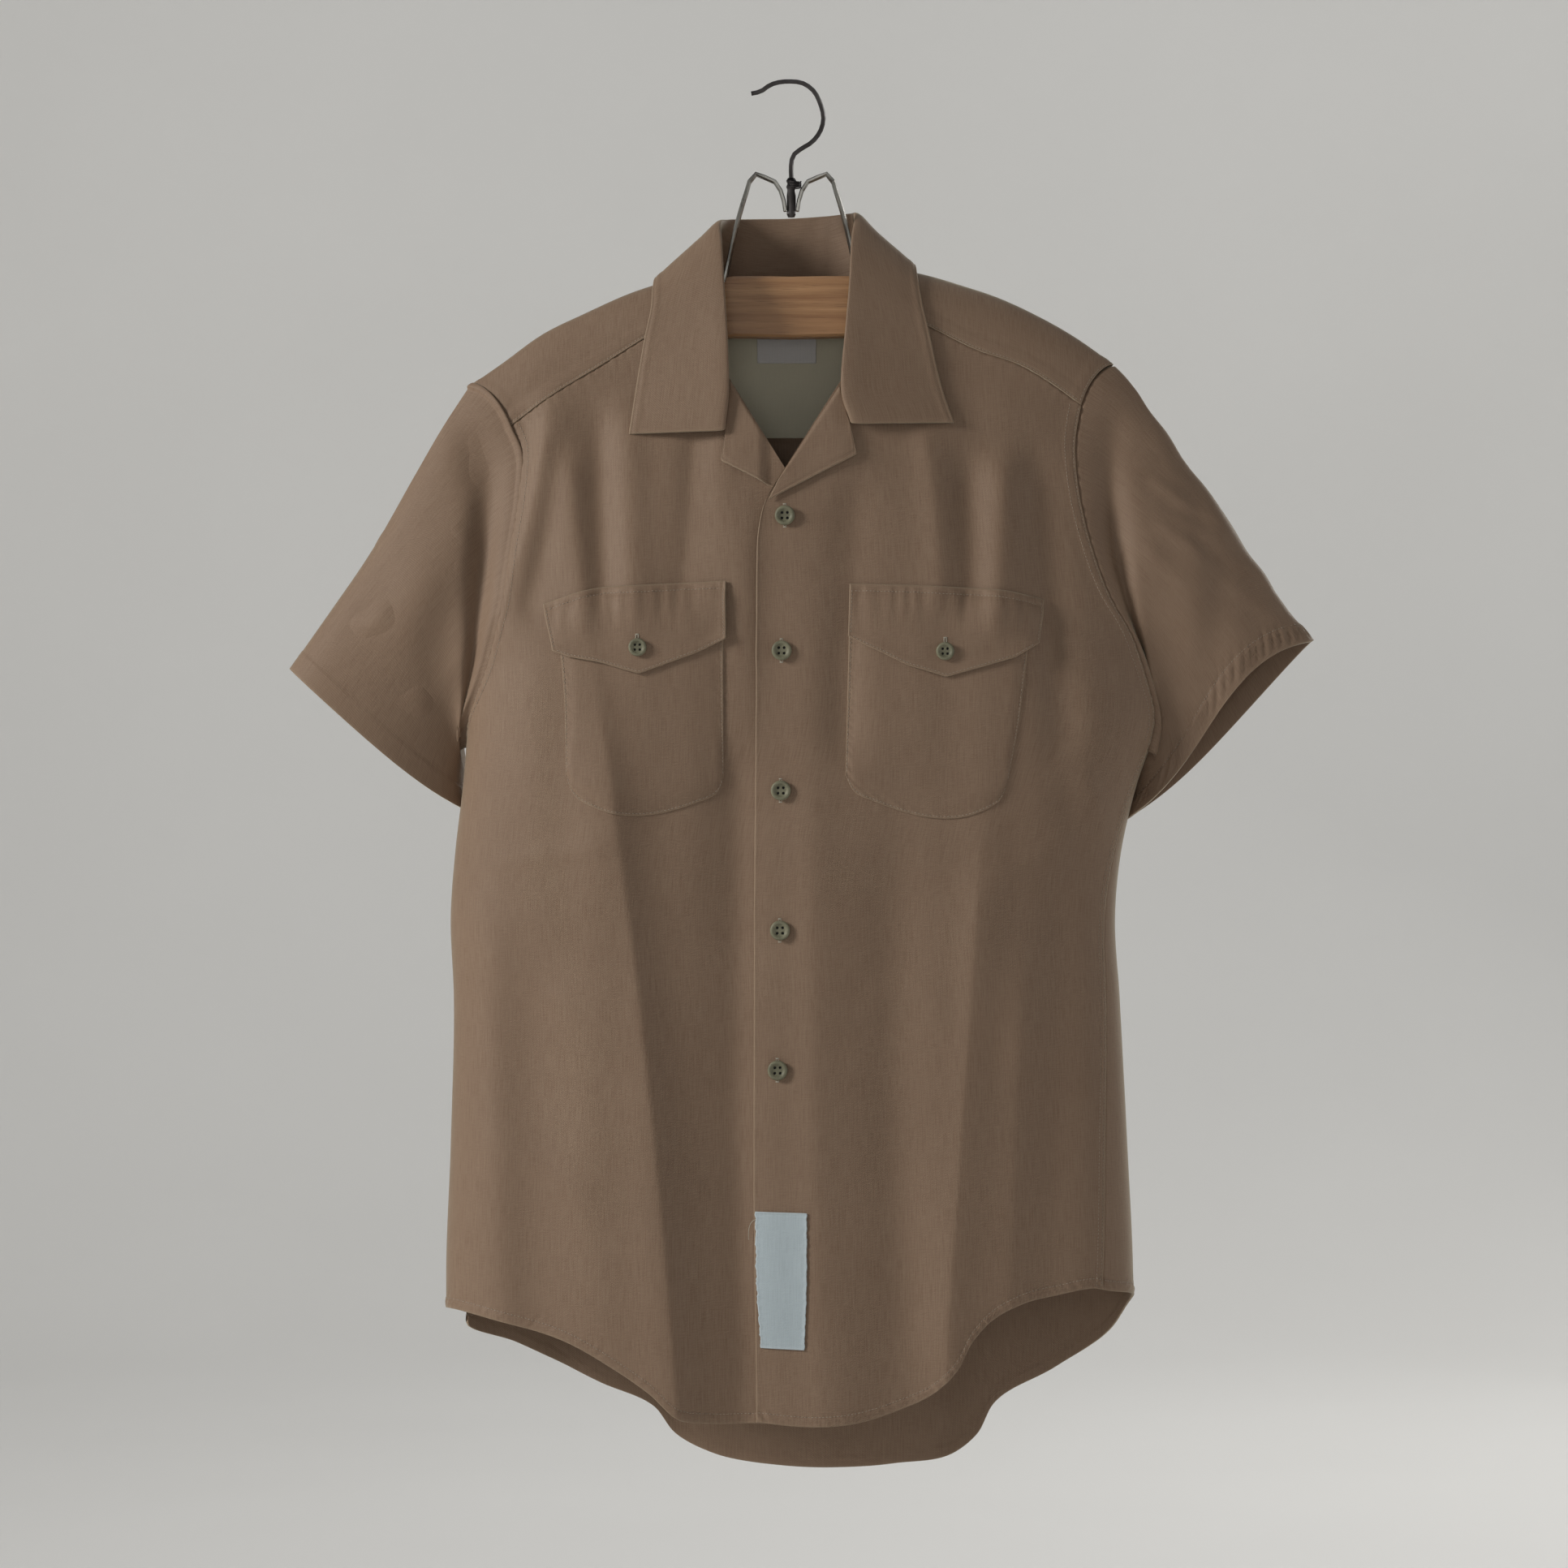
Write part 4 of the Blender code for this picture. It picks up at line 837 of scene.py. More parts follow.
def declare(piece, area, node):
    """Hides the imported part or parts that a sheet stands for, and prints its faces and square metres of cloth.
    """
    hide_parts(*(node if isinstance(node, tuple) else (node,)))
    print(piece.name, "has", len(piece.data.polygons), "faces and", round(area, 4), "square metres of cloth")


back, back_area = add_back("cloth_back")
yoke, yoke_area = add_yoke("cloth_yoke")
declare(back, back_area, "back")
declare(yoke, yoke_area, "yoke")

# %% [markdown]
# ## Sleeves
# A sleeve starts on the armhole and ends in a hem that lies nearly flat. Rings of points run round it, and
# each ring fades from the armhole's shape to the flat one. The cloth sinks into a valley beside the seam,
# where the shoulder's slope ends, and rises in a broad ridge below it. The underside lies behind the body's
# outline. The hem is turned up 15 mm and stitched once.

# %% Make the sleeves
SLEEVE_TOP = {
    "left": [(-212, -200), (-229, -226), (-247, -257), (-278, -311), (-304, -349), (-330, -386)],
    "right": [(212, -186), (226, -200), (239, -220), (272, -266), (311, -323), (343, -368)],
}
SLEEVE_UNDER = {
    "left": [(-214, -437), (-221, -456), (-226, -480)],
    "right": [(237, -440), (238.5, -462), (236, -489)],
}
SLEEVE_DEPTH, SLEEVE_VALLEY, SLEEVE_RIDGE, SLEEVE_HEM = 23.0, 9.0, 5.0, 15.0
# How far the underside keeps away from the body, and the factor of the curve that this follows down the arm
SLEEVE_CLEAR, SLEEVE_CLEAR_FACTOR = 10.0, 1.9
# How far the underside lies behind the body's outline, backward and inward, and by which row it does
UNDER_BACK, UNDER_IN, UNDER_ROWS = 18.0, {"left": 12.5, "right": 20}, 0.5
SLEEVE_EDGE = np.array([0, 0.8, 1.6, 2.6, 4, 6, 8, 10, 11.6, 12.8, 13.8, 14.6, 15.4, 16.4, 18])
# Small creases where the sleeve was folded: two ends, a height and a width each
CRUMPLES = columns("x_start z_start x_end z_end height width", [
    (236, -262, 262, -281, 1.3, 4), (244, -278, 276, -292, -1.2, 5), (240, -292, 268, -310, 1.5, 4),
    (262, -300, 290, -322, -1.0, 5), (232, -306, 256, -330, 1.0, 5), (286, -330, 318, -352, 0.9, 6),
    (-222, -300, -240, -340, 1.2, 7), (-252, -330, -286, -372, -1.2, 8), (-236, -360, -262, -398, 1.1, 7),
    (-276, -330, -306, -366, 0.9, 6),
])


def crumple_height(x, z):
    """Sum of short creases: a bell across each line, fading toward its two ends."""
    total = np.zeros_like(x)
    for x0, z0, x1, z1, height, width in zip(*CRUMPLES.values()):
        size = math.hypot(x1 - x0, z1 - z0)
        t = ((x - x0) * (x1 - x0) + (z - z0) * (z1 - z0)) / size**2
        away = ((x - x0) * (z1 - z0) - (z - z0) * (x1 - x0)) / size
        ends = soft_step((t + 0.2) / 0.4) * soft_step((1.2 - t) / 0.4)
        total += height * np.exp(-((away / width) ** 2)) * ends
    return total


def add_sleeve(side, name):
    """Sleeve from rings of points, with its seam allowance tucked under the body."""
    down, over = 66, 28
    front = body_ring(*armhole_front[side](np.linspace(0, 1, down + 1)).T)
    behind = body_ring(*armhole_back[side](np.linspace(0, 1, down + 1)).T)
    above = body_over(*armhole_over[side](np.linspace(0, 1, over + 1)).T)
    ring = np.vstack([front[:-1], behind[::-1][:-1], above[::-1][:-1]])
    under, shoulder = down, 2 * down + over // 2
    run = lengths(np.vstack([ring, ring[:1]]))
    total, run = run[-1], run[:-1]
    front_run = (run - run[shoulder]) % total / ((run[under] - run[shoulder]) % total)
    back_run = (run - run[under]) / (run[shoulder] - run[under])
    angle = math.pi * np.where(front_run <= 1, front_run, 1 + back_run)
    rows = spread(205, 2.6, last=SLEEVE_EDGE)
    top, low = curve_at(SLEEVE_TOP[side], rows), curve_at(SLEEVE_UNDER[side], rows)
    facing, weight, row = np.sin(angle)[:, None], (1 + np.cos(angle)[:, None]) / 2, rows[None, :]
    hem_rise = 0.13 if side == "right" else 0.0
    slack = np.clip(row - hem_rise * np.maximum(facing, 0) ** 2 * row**4, 0, 1)
    start = top[0] * weight[..., None] + low[0] * (1 - weight[..., None])
    flat = top[None] * weight[..., None] + low[None] * (1 - weight[..., None])
    flat = flat - (flat - start) * ((row - slack) / np.maximum(row, 0.01))[..., None]
    valley = np.exp(-(((row - 0.12) / 0.07) ** 2)) * SLEEVE_VALLEY
    ridge = np.exp(-(((row - 0.45) / 0.22) ** 2)) * SLEEVE_RIDGE * np.exp(-(((weight - 0.7) / 0.2) ** 2))
    depth = SLEEVE_DEPTH * np.abs(facing) ** 0.8 * np.sign(facing)
    y = -depth - (ridge - valley * np.abs(facing)) * np.sign(facing)
    clear = math.copysign(SLEEVE_CLEAR, top[0][0]) * SLEEVE_CLEAR_FACTOR * row**0.4 * (1 - row)
    tucked = soft_step(row / UNDER_ROWS)
    inward = math.copysign(UNDER_IN[side], top[0][0]) * tucked * (1 - weight) ** 6
    x = flat[..., 0] + clear * (1 - weight) ** 1.5 - inward
    y = y + UNDER_BACK * tucked * (1 - weight) ** 2
    hung = np.stack([x, y, flat[..., 1]], axis=-1)
    grid = hung + (ring[:, None] - hung[:, :1]) * ((1 - row) ** 2.2)[..., None]
    grid[:, 0] = ring
    step = unit(grid[:, 3] - grid[:, 0])
    grid[:, :3] = ring[:, None] + step[:, None] * (EDGE_LINES[:3] + 0.3)[None, :, None]
    tuck = ring[:, None] - step[:, None] * TUCK_LINES[::-1][None, :, None]
    tuck[..., 2] -= 0.9 * TUCK_LINES[::-1] * soft_step(weight * 2 - 1)
    grid = np.concatenate([tuck, grid], axis=1)
    normal = grid_normals(grid, True)
    down_run = run_along(grid, 1)
    from_hem = down_run[:, -1:] - down_run
    from_seam = down_run - down_run[:, 3:4]
    around_run = np.broadcast_to(run[:, None], from_hem.shape)
    lift = crumple_height(grid[..., 0], grid[..., 2]) * (grid[..., 1] < 0)
    lift = lift + 0.5 * soft_step((SLEEVE_HEM + 0.8 - from_hem) / 1.6)
    lift = lift - 0.5 * bump(from_hem, SLEEVE_HEM - 0.5, 0.9)
    slanted = 0.85 * puckers(around_run + 0.8 * from_hem, 9.5)
    lift = lift + slanted * soft_step(from_hem / 5) * bump(from_hem, 9, 8)
    lift = lift + 0.3 * puckers(around_run, 8.0) * np.exp(-np.maximum(from_seam, 0) / 6)
    lift = lift + wave_height(grid[..., 0] * 1.4, grid[..., 2] * 3) * soft_step(from_seam / 30)
    head = np.exp(-(((1 - weight) / 0.12) ** 2))
    sunk = tucked_under(from_seam - 0.3) * (1 + 1.2 * head)
    pattern = np.stack([around_run, -down_run], axis=-1)
    joined = np.stack([np.full_like(down_run[:1], total), -down_run[:1]], axis=-1)
    pattern = np.concatenate([pattern, joined])
    outer = lift - sunk + WALL / 2
    inner = WALL / 2 + sunk + 0.3 * soft_step((SLEEVE_HEM - from_hem) / 1.5)
    piece, skin = add_sheet(name, grid, normal, twill, outer, inner, pattern, True, edge_light(from_hem))
    skins[name] = dict(skin=skin, normal=normal, hem=from_hem)
    return piece, cloth_area(np.concatenate([grid, grid[:1]])[:, 3:])


for side in ("left", "right"):
    sleeve, area = add_sleeve(side, f"cloth_sleeve_{side}")
    declare(sleeve, area, f"sleeve_{side}")

# %% [markdown]
# ## Collar and lapels
# The collar is one folded strip: it stands up from the neck seam, rolls over and falls to its free edge, with
# its two points in front. Each row of the table is a station round the neck with three places: on the seam,
# on the roll and on the free edge. The lapels are the front facings, turned back along the roll line.

# %% Make the collar and the lapels
COLLAR = columns("nx ny nz rx ry rz ex ey ez", [
    (-47.5, -36.4, -230, -43.7, -40.5, -231.5, -106, -29.6, -233.5),
    (-43.5, -32.6, -205, -41.3, -38.0, -202, -101, -25.5, -200),
    (-49.0, -29.6, -172, -42.7, -32.5, -162, -96, -22.4, -170),
    (-55.5, -25.0, -148, -44.5, -26.0, -134, -92, -20.5, -151),
    (-60.0, -15.5, -128, -46.0, -14.0, -108, -91, -13.5, -137),
    (-61.5, 0.0, -118.5, -47.0, 0.0, -92, -88.5, 0.0, -129),
    (-56.0, 17.0, -126, -42.0, 17.0, -88, -78, 20.5, -143),
    (-32.0, 26.5, -133, -26.0, 29.5, -86, -46, 33.5, -150),
    (0.0, 29.5, -135, -1.0, 34.0, -85, 0, 38.0, -151),
    (31.0, 26.5, -133, 24.0, 29.5, -84, 46, 33.5, -149),
    (55.0, 17.0, -125, 39.0, 17.0, -84, 76, 20.5, -138),
    (60.5, 0.0, -117.5, 42.5, 0.0, -87, 81, 0.0, -120.5),
    (59.0, -15.5, -127, 40.0, -14.0, -104, 83, -14.0, -131),
    (54.0, -25.0, -147, 38.5, -26.0, -131, 86, -20.5, -149),
    (46.0, -29.6, -172, 36.0, -32.5, -161, 90, -22.6, -166),
    (35.5, -34.6, -207, 33.0, -39.6, -203, 97.5, -25.6, -200),
    (43.0, -36.6, -225, 39.2, -40.6, -227, 106, -29.0, -226),
])
COLLAR_FOLD, COLLAR_FOLD_HALF, COLLAR_HALF_WALL = 3.0, 1.4, 0.65
# Where the lines of the collar lie in its own run: the seam at 0, the roll at 1.14 and the edge at 2.16
COLLAR_PLACES = np.array([0, 0.5, 1.0, 1.14, 1.28, 1.5, 1.72, 1.94, 2.16])


def smooth_lines(at, xs, lines):
    """The same cubic curve as smooth, for many lines at once: lines has one row for each x."""
    slopes = np.gradient(lines, xs, axis=0)
    row = np.clip(np.searchsorted(xs, at) - 1, 0, len(xs) - 2)
    shape = (-1,) + (1,) * (lines.ndim - 1)
    step = (xs[row + 1] - xs[row]).reshape(shape)
    t = np.clip((at - xs[row]).reshape(shape) / step, 0, 1)
    start = (2 * t**3 - 3 * t**2 + 1) * lines[row] + (t**3 - 2 * t**2 + t) * step * slopes[row]
    return start + (3 * t**2 - 2 * t**3) * lines[row + 1] + (t**3 - t**2) * step * slopes[row + 1]


def add_collar(name):
    """Strip through seam, roll and free edge: the roll is an arch between two lines set beside it."""
    rows = len(COLLAR["nx"])
    at = spread(430, 2.4) * (rows - 1)
    table = {key: smooth(at, np.arange(rows, dtype=float), column) for key, column in COLLAR.items()}
    neck, roll, edge = (np.stack([table[letter + axis] for axis in "xyz"], axis=1) for letter in "nre")
    height = np.linalg.norm(neck - roll, axis=1, keepdims=True)
    inward, outward = (neck - roll) / height, unit(edge - roll)
    apart = unit(outward - inward)
    fold = np.minimum(COLLAR_FOLD, height * 0.45)
    inside = roll + inward * fold - apart * COLLAR_FOLD_HALF
    outside = roll + outward * COLLAR_FOLD + apart * COLLAR_FOLD_HALF
    lines = np.stack([neck, (neck + inside) / 2, inside, roll, outside] +
                     [outside + (edge - outside) * step / 4 for step in range(1, 5)])
    leaf = 1.28 + (1 - EDGE_LINES[::-1] / 62) * 0.88
    stand, roll_rows = np.linspace(0, 0.9, 9), np.linspace(0.95, 1.35, 13)
    rows_at = np.concatenate([stand, roll_rows, np.linspace(1.39, leaf[0], 16)[:-1], leaf])
    grid = smooth_lines(rows_at, COLLAR_PLACES, lines).swapaxes(0, 1)
    normal = grid_normals(grid)
    across_run, down_run = run_along(grid, 0), run_along(grid, 1)
    from_edge = down_run[:, -1:] - down_run
    from_left, from_right = across_run, across_run[-1:] - across_run
    leaf_part = soft_step((rows_at[None, :] - 1.3) / 0.3)
    belly = 1.1 * leaf_part * soft_step(from_edge / 18) * np.sin(across_run / 17.0 + 0.6)
    lift = belly * 0.35
    for distance in (from_edge, from_left, from_right):
        lift = lift + leaf_part * (0.3 * soft_step((7.0 - distance) / 2) - 0.34 * bump(distance, 1.7, 0.8))
        lift = lift - 0.45 * soft_step((0.8 - distance) / 0.8)
    flat = np.stack([down_run, across_run.mean(axis=1, keepdims=True) + 0 * down_run], axis=-1)
    marks = edge_light(from_edge, from_left, from_right)
    sign = np.sign(normal[len(at) // 2, -2, 1])
    outer, inner = lift + COLLAR_HALF_WALL, COLLAR_HALF_WALL - 0.5 * lift
    piece, _ = add_sheet(name, grid, normal * sign, twill, outer, inner, flat, marks=marks)
    return piece, cloth_area(grid)


def patch_places(sides, u, v, rounded_foot=False):
    """Places in the front view of a patch, from its four sides."""
    bottom = curve_at(sides["bottom"], u, rounded_foot)
    top = curve_at(sides["top"], u)
    return coons(bottom, top, curve_at(sides["left"], 1 - v), curve_at(sides["right"], 1 - v), u, v)


LAPELS = {
    "left": dict(top=[(-39.5, -199), (-3.5, -257)], bottom=[(-42.5, -233), (-45, -252), (-12, -269)],
                 left=[(-39.5, -199), (-42.5, -233)], right=[(-3.5, -257), (-12, -269)]),
    "right": dict(top=[(-8, -263), (31, -203)], bottom=[(-15, -277.5), (42, -247.5), (38, -229)],
                  left=[(-8, -263), (-15, -277.5)], right=[(31, -203), (38, -229)]),
}


def add_laid(name, places, finish, lift, outer, inner, marks=None, front=True):
    """Sheet that lies on the body surface at a distance, outside it or, with a negative lift, inside."""
    x, z = places[..., 0], places[..., 1]
    grid = body_face(x, z, front)
    normal = ring_normals(ring_of(x, z, front), z)
    grid = grid + normal * lift[..., None]
    piece, skin = add_sheet(name, grid, normal, finish, outer, inner, places, marks=marks)
    skins[name] = dict(skin=skin, normal=normal)
    return piece, cloth_area(grid)


def patch_distances(places):
    """Distances of each point of a patch from its left, right, bottom and top sides."""
    wide, tall = run_along(places, 0), run_along(places, 1)
    return wide, wide[-1:] - wide, tall, tall[:, -1:] - tall


def add_lapel(side, name):
    """Turned-back facing with a small roll at its upper side. The left one's foot dips under the other."""
    places = patch_places(LAPELS[side], spread(66, 1.6), spread(34, 1.5, SHORT, SHORT))
    left, right, bottom, top = patch_distances(places)
    lift = 2.4 * round_edge(top / 3.0) + 0.5 * bump(bottom, 0, 9)
    if side == "left":
        lift = lift - (lift + 0.9) * soft_step((places[..., 0] + 22) / 9)
    free = np.minimum(bottom, np.minimum(left, right) + 2)
    outer = 0.6 - 0.35 * soft_step((0.8 - free) / 0.8) - 0.28 * bump(free, 1.9, 0.8)
    marks = edge_light(bottom, left, right)
    return add_laid(name, places, twill, lift, outer, np.full_like(lift, 0.5), marks)


collar, collar_area = add_collar("cloth_collar")
declare(collar, collar_area, "collar")
for side, node in (("left", "lapel_under"), ("right", "lapel_over")):
    lapel, area = add_lapel(side, f"cloth_{node}")
    declare(lapel, area, node)

# %% [markdown]
# ## Pockets and flaps
# Each pocket is a patch with rounded lower corners, edge-stitched close to its rim, under a flap that comes to a
# blunt point and buttons down. The flap is sewn along its top, so it starts flat and lifts over the pocket's
# mouth. Both follow the front's folds because they are made from the same surface, moved out.

# %% Make the pockets and flaps
POCKETS = {
    "left": dict(top=[(-152.5, -350), (-44, -350)],
                 bottom=[(-145.6, -456), (-141, -468), (-125, -478), (-62, -474), (-48, -467), (-44, -457)],
                 left=[(-152.5, -350), (-147, -405), (-145.6, -456)], right=[(-44, -350), (-44, -457)]),
    "right": dict(top=[(37.6, -350), (155.4, -350)],
                  bottom=[(35, -456), (40, -466), (56, -474), (122, -480), (135, -472), (140, -460)],
                  left=[(37.6, -350), (35, -456)], right=[(155.4, -350), (146.5, -425), (140, -460)]),
}
FLAPS = {
    "left": dict(top=[(-160.8, -345), (-130, -335.5), (-96, -333), (-42, -330.3)],
                 bottom=[(-154, -376), (-143.6, -380), (-122, -384), (-98.5, -390.5), (-62, -377),
                         (-41.5, -367.5)],
                 left=[(-160.8, -345), (-154, -376)], right=[(-42, -330.3), (-41.5, -367.5)]),
    "right": dict(top=[(37.6, -332), (109, -334.5), (138, -336.6), (163.2, -342)],
                  bottom=[(36.5, -366), (75, -385), (100, -392.6), (121, -387), (145, -380), (158.5, -371)],
                  left=[(37.6, -332), (36.5, -366)], right=[(163.2, -342), (158.5, -371)]),
}


def add_pocket(side, name):
    """Patch pocket: sewn down along three sides and slightly full in the middle."""
    places = patch_places(POCKETS[side], spread(112, 1.8), spread(124, 2.2), True)
    left, right, bottom, top = patch_distances(places)
    sewn = np.minimum(np.minimum(left, right), bottom)
    run = places[..., 0] + places[..., 1]
    lift = 1.05 + 0.95 * soft_step((sewn - 1.5) / 10) + 0.28 * puckers(run, 6.5) * bump(sewn, 3, 4)
    lift = lift - 0.3 * bump(sewn, 1.6, 0.7)
    outer = WALL / 2 - 0.35 * soft_step((0.8 - sewn) / 0.8)
    return add_laid(name, places, twill, lift, outer, np.full_like(lift, WALL / 2), edge_light(sewn))


def add_flap(side, name):
    """Flap: flat along its sewn top, lifting to a free edge, with soft upright puckers from its stitching."""
    places = patch_places(FLAPS[side], spread(122, 1.7), spread(46, 1.6))
    left, right, bottom, top = patch_distances(places)
    free = np.minimum(np.minimum(left, right), bottom)
    lift = 1.8 + 1.9 * soft_step(top / 12) + 0.7 * soft_step((8 - bottom) / 8)
    lift = lift + 0.34 * puckers(places[..., 0], 11.5) * soft_step(top / 4) * soft_step((34 - top) / 30)
    lift = lift + 0.16 * puckers(places[..., 0], 4.3, 1.0) * bump(top, 3, 3.5)
    lift = lift - 0.5 * bump(top, 5.0, 0.9) + 0.35 * bump(top, 2.6, 1.8) - 0.3 * bump(free, 1.8, 0.7)
    outer = 0.62 - 0.4 * soft_step((0.8 - np.minimum(free, top)) / 0.8)
    return add_laid(name, places, twill, lift, outer, np.full_like(lift, 0.6), edge_light(free, top))


for side in ("left", "right"):
    pocket, area = add_pocket(side, f"cloth_pocket_{side}")
    declare(pocket, area, f"pocket_{side}")
    flap, area = add_flap(side, f"cloth_flap_{side}")
    declare(flap, area, f"pocket_flap_{side}")

# %% [markdown]
# ## Stitches
# The seams are sewn with a thread a little lighter than the cloth, about ten stitches to 25 mm. Each stitch is
# a small spindle that sinks into the cloth at both ends, laid along a line read off the finished skin at a
# true distance from its edge.

# %% Sew the seams
STITCH, STITCH_GAP, STITCH_RADIUS, STITCH_SIDES, STITCH_LIFT = 1.75, 0.65, 0.23, 5, 0.06
# Distances of the rows of stitches from their edges
ARMHOLE_ROWS, SIDE_ROWS, HEM_ROW, YOKE_ROW, SLEEVE_ROW = (1.4, 8.2), (1.4, 4.6), 6.4, 1.5, 14.5
POCKET_ROW, FLAP_TOP_ROW, FLAP_ROW = 1.6, 5.0, 1.8


def make_thread(name, dark, light, sheen=0.0):
    """Twisted thread: a fine mottle between two tones."""
    f = Finish(name, Roughness=0.6, Sheen_Weight=sheen)
    twist = f.noise(f.add("TexCoord", output="Object"), (2500, 2500, 2500))
    f.feed(f.shader.inputs["Base Color"], f.mix(twist, dark, light))
    return f.material


thread = make_thread("thread", (0.27, 0.20, 0.15, 1), (0.46, 0.385, 0.30, 1), 0.2)
pale_thread = make_thread("pale_thread", (0.42, 0.40, 0.33, 1), (0.66, 0.63, 0.54, 1))


def add_spindles(name, centres, along, normals, length, radius, material):
    """Many small spindles in one mesh: two rings a little short of two tips, sunk by the radius."""
    along, count = unit(along), len(centres)
    level = unit(np.cross(along, normals))
    up = np.cross(level, along)
    turn = np.linspace(0, 2 * math.pi, STITCH_SIDES, endpoint=False)
    ring = radius * (np.cos(turn)[None, :, None] * level[:, None] + np.sin(turn)[None, :, None] * up[:, None])
    half = along[:, None] * length / 2
    first = centres[:, None] - half * 0.62 + ring
    second = centres[:, None] + half * 0.62 + ring
    tips = [centres[:, None] - half - up[:, None] * radius, centres[:, None] + half - up[:, None] * radius]
    points = np.concatenate([first, second, *tips], axis=1)
    a = np.arange(STITCH_SIDES)
    b = (a + 1) % STITCH_SIDES
    c, d = b + STITCH_SIDES, a + STITCH_SIDES
    first_tip, second_tip = 0 * a + 2 * STITCH_SIDES, 0 * a + 2 * STITCH_SIDES + 1
    corners = ((a, c, b), (a, d, c), (a, b, first_tip), (c, d, second_tip))
    one = np.concatenate([np.stack(rows, axis=1) for rows in corners])
    faces = (one[None] + np.arange(count)[:, None, None] * points.shape[1]).reshape(-1, 3)
    return add_mesh(name, points.reshape(-1, 3), faces, material)


def line_at(name, edge, value, axis=0, keep=None):
    """Points and normals of a skin at a true distance from an edge, read between the two nearest grid lines."""
    arrays = [skins[name][key] for key in ("skin", "normal", edge)]
    skin, normal, distance = arrays if axis == 0 else [array.swapaxes(0, 1) for array in arrays]
    if distance[0].mean() > distance[-1].mean():
        skin, normal, distance = skin[::-1], normal[::-1], distance[::-1]
    low = np.clip((distance < value).sum(axis=0) - 1, 0, len(distance) - 2)
    column = np.arange(distance.shape[1])
    share = (value - distance[low, column]) / (distance[low + 1, column] - distance[low, column])
    share = np.clip(share, 0, 1)[:, None]
    found = [array[low, column] * (1 - share) + array[low + 1, column] * share for array in (skin, normal)]
    return found if keep is None else [array[keep] for array in found]


def sewn(lines, step=STITCH + STITCH_GAP):
    """Middles, directions and normals of even stitches along lines of points."""
    middles, ways, ups = [], [], []
    for points, normals in lines:
        run = lengths(points)
        at = np.arange(step, run[-1] - step, step)
        before, place, after = (
            np.stack([np.interp(at + off, run, column) for column in points.T], axis=1) for off in (-0.5, 0, 0.5)
        )
        middles.append(place)
        ways.append(after - before)
        ups.append(np.stack([np.interp(at, run, column) for column in normals.T], axis=1))
    return np.concatenate(middles), np.concatenate(ways), np.concatenate(ups)


def add_seam(name, *lines):
    """All the stitches of one seam as one piece."""
    middles, ways, ups = sewn(lines)
    ups = unit(ups)
    print(name, "has", len(middles), "stitches")
    middles = middles + ups * STITCH_LIFT
    return add_spindles(name, middles, ways, ups, STITCH, STITCH_RADIUS, thread)


for side, name in (("right", "cloth_front_over"), ("left", "cloth_front_under")):
    share = skins[name]["share"]
    arm, flank = (share > ARM_START) & (share < 1), share <= ARM_START
    add_seam(f"stitches_armhole_front_{side}", *(line_at(name, "side", row, 0, arm) for row in ARMHOLE_ROWS))
    add_seam(f"stitches_side_{side}", *(line_at(name, "side", row, 0, flank) for row in SIDE_ROWS))
    add_seam(f"stitches_hem_front_{side}", line_at(name, "hem", HEM_ROW, 1))
share = skins["cloth_back"]["share"]
arm = (share > ARM_START) & (share < 1)
arm_lines = [line_at("cloth_back", side, row, 0, arm) for side in ("left", "right") for row in ARMHOLE_ROWS]
add_seam("stitches_armhole_back", *arm_lines)
add_seam("stitches_hem_back", line_at("cloth_back", "hem", HEM_ROW, 1))
add_seam("stitches_yoke_front", *(line_at("cloth_yoke", side, YOKE_ROW) for side in ("left", "right")))
add_seam("stitches_yoke_outer", line_at("cloth_yoke", "outer", YOKE_ROW, 1))
for side in ("left", "right"):
    points, normals = line_at(f"cloth_sleeve_{side}", "hem", SLEEVE_ROW, 1)
    add_seam(f"stitches_sleeve_{side}", (np.vstack([points, points[:1]]), np.vstack([normals, normals[:1]])))


def patch_line(name, inset, sides):
    """Lines on a patch at an inset from the named sides, read off its skin."""
    skin, normal = skins[name]["skin"], skins[name]["normal"]
    wide, tall = run_along(skin, 0), run_along(skin, 1)
    skins[name].update(left=wide, right=wide[-1:] - wide, bottom=tall, top=tall[:, -1:] - tall)
    trim = slice(3, -3)
    return [line_at(name, side, inset, 0 if side in ("left", "right") else 1, trim) for side in sides]


for side in ("left", "right"):
    pocket, flap, free = f"cloth_pocket_{side}", f"cloth_flap_{side}", ("left", "bottom", "right")
    add_seam(f"stitches_pocket_{side}", *patch_line(pocket, POCKET_ROW, free))
    along_top = patch_line(flap, FLAP_TOP_ROW, ("top",))
    add_seam(f"stitches_flap_{side}", *along_top, *patch_line(flap, FLAP_ROW, free))

# %% [markdown]
# ## Lining and labels
# A greenish lining backs the yoke and shows in the neck opening. A small pale woven label is sewn to it, and a
# bluish cloth patch with fraying, wavy edges is stitched low on the front.

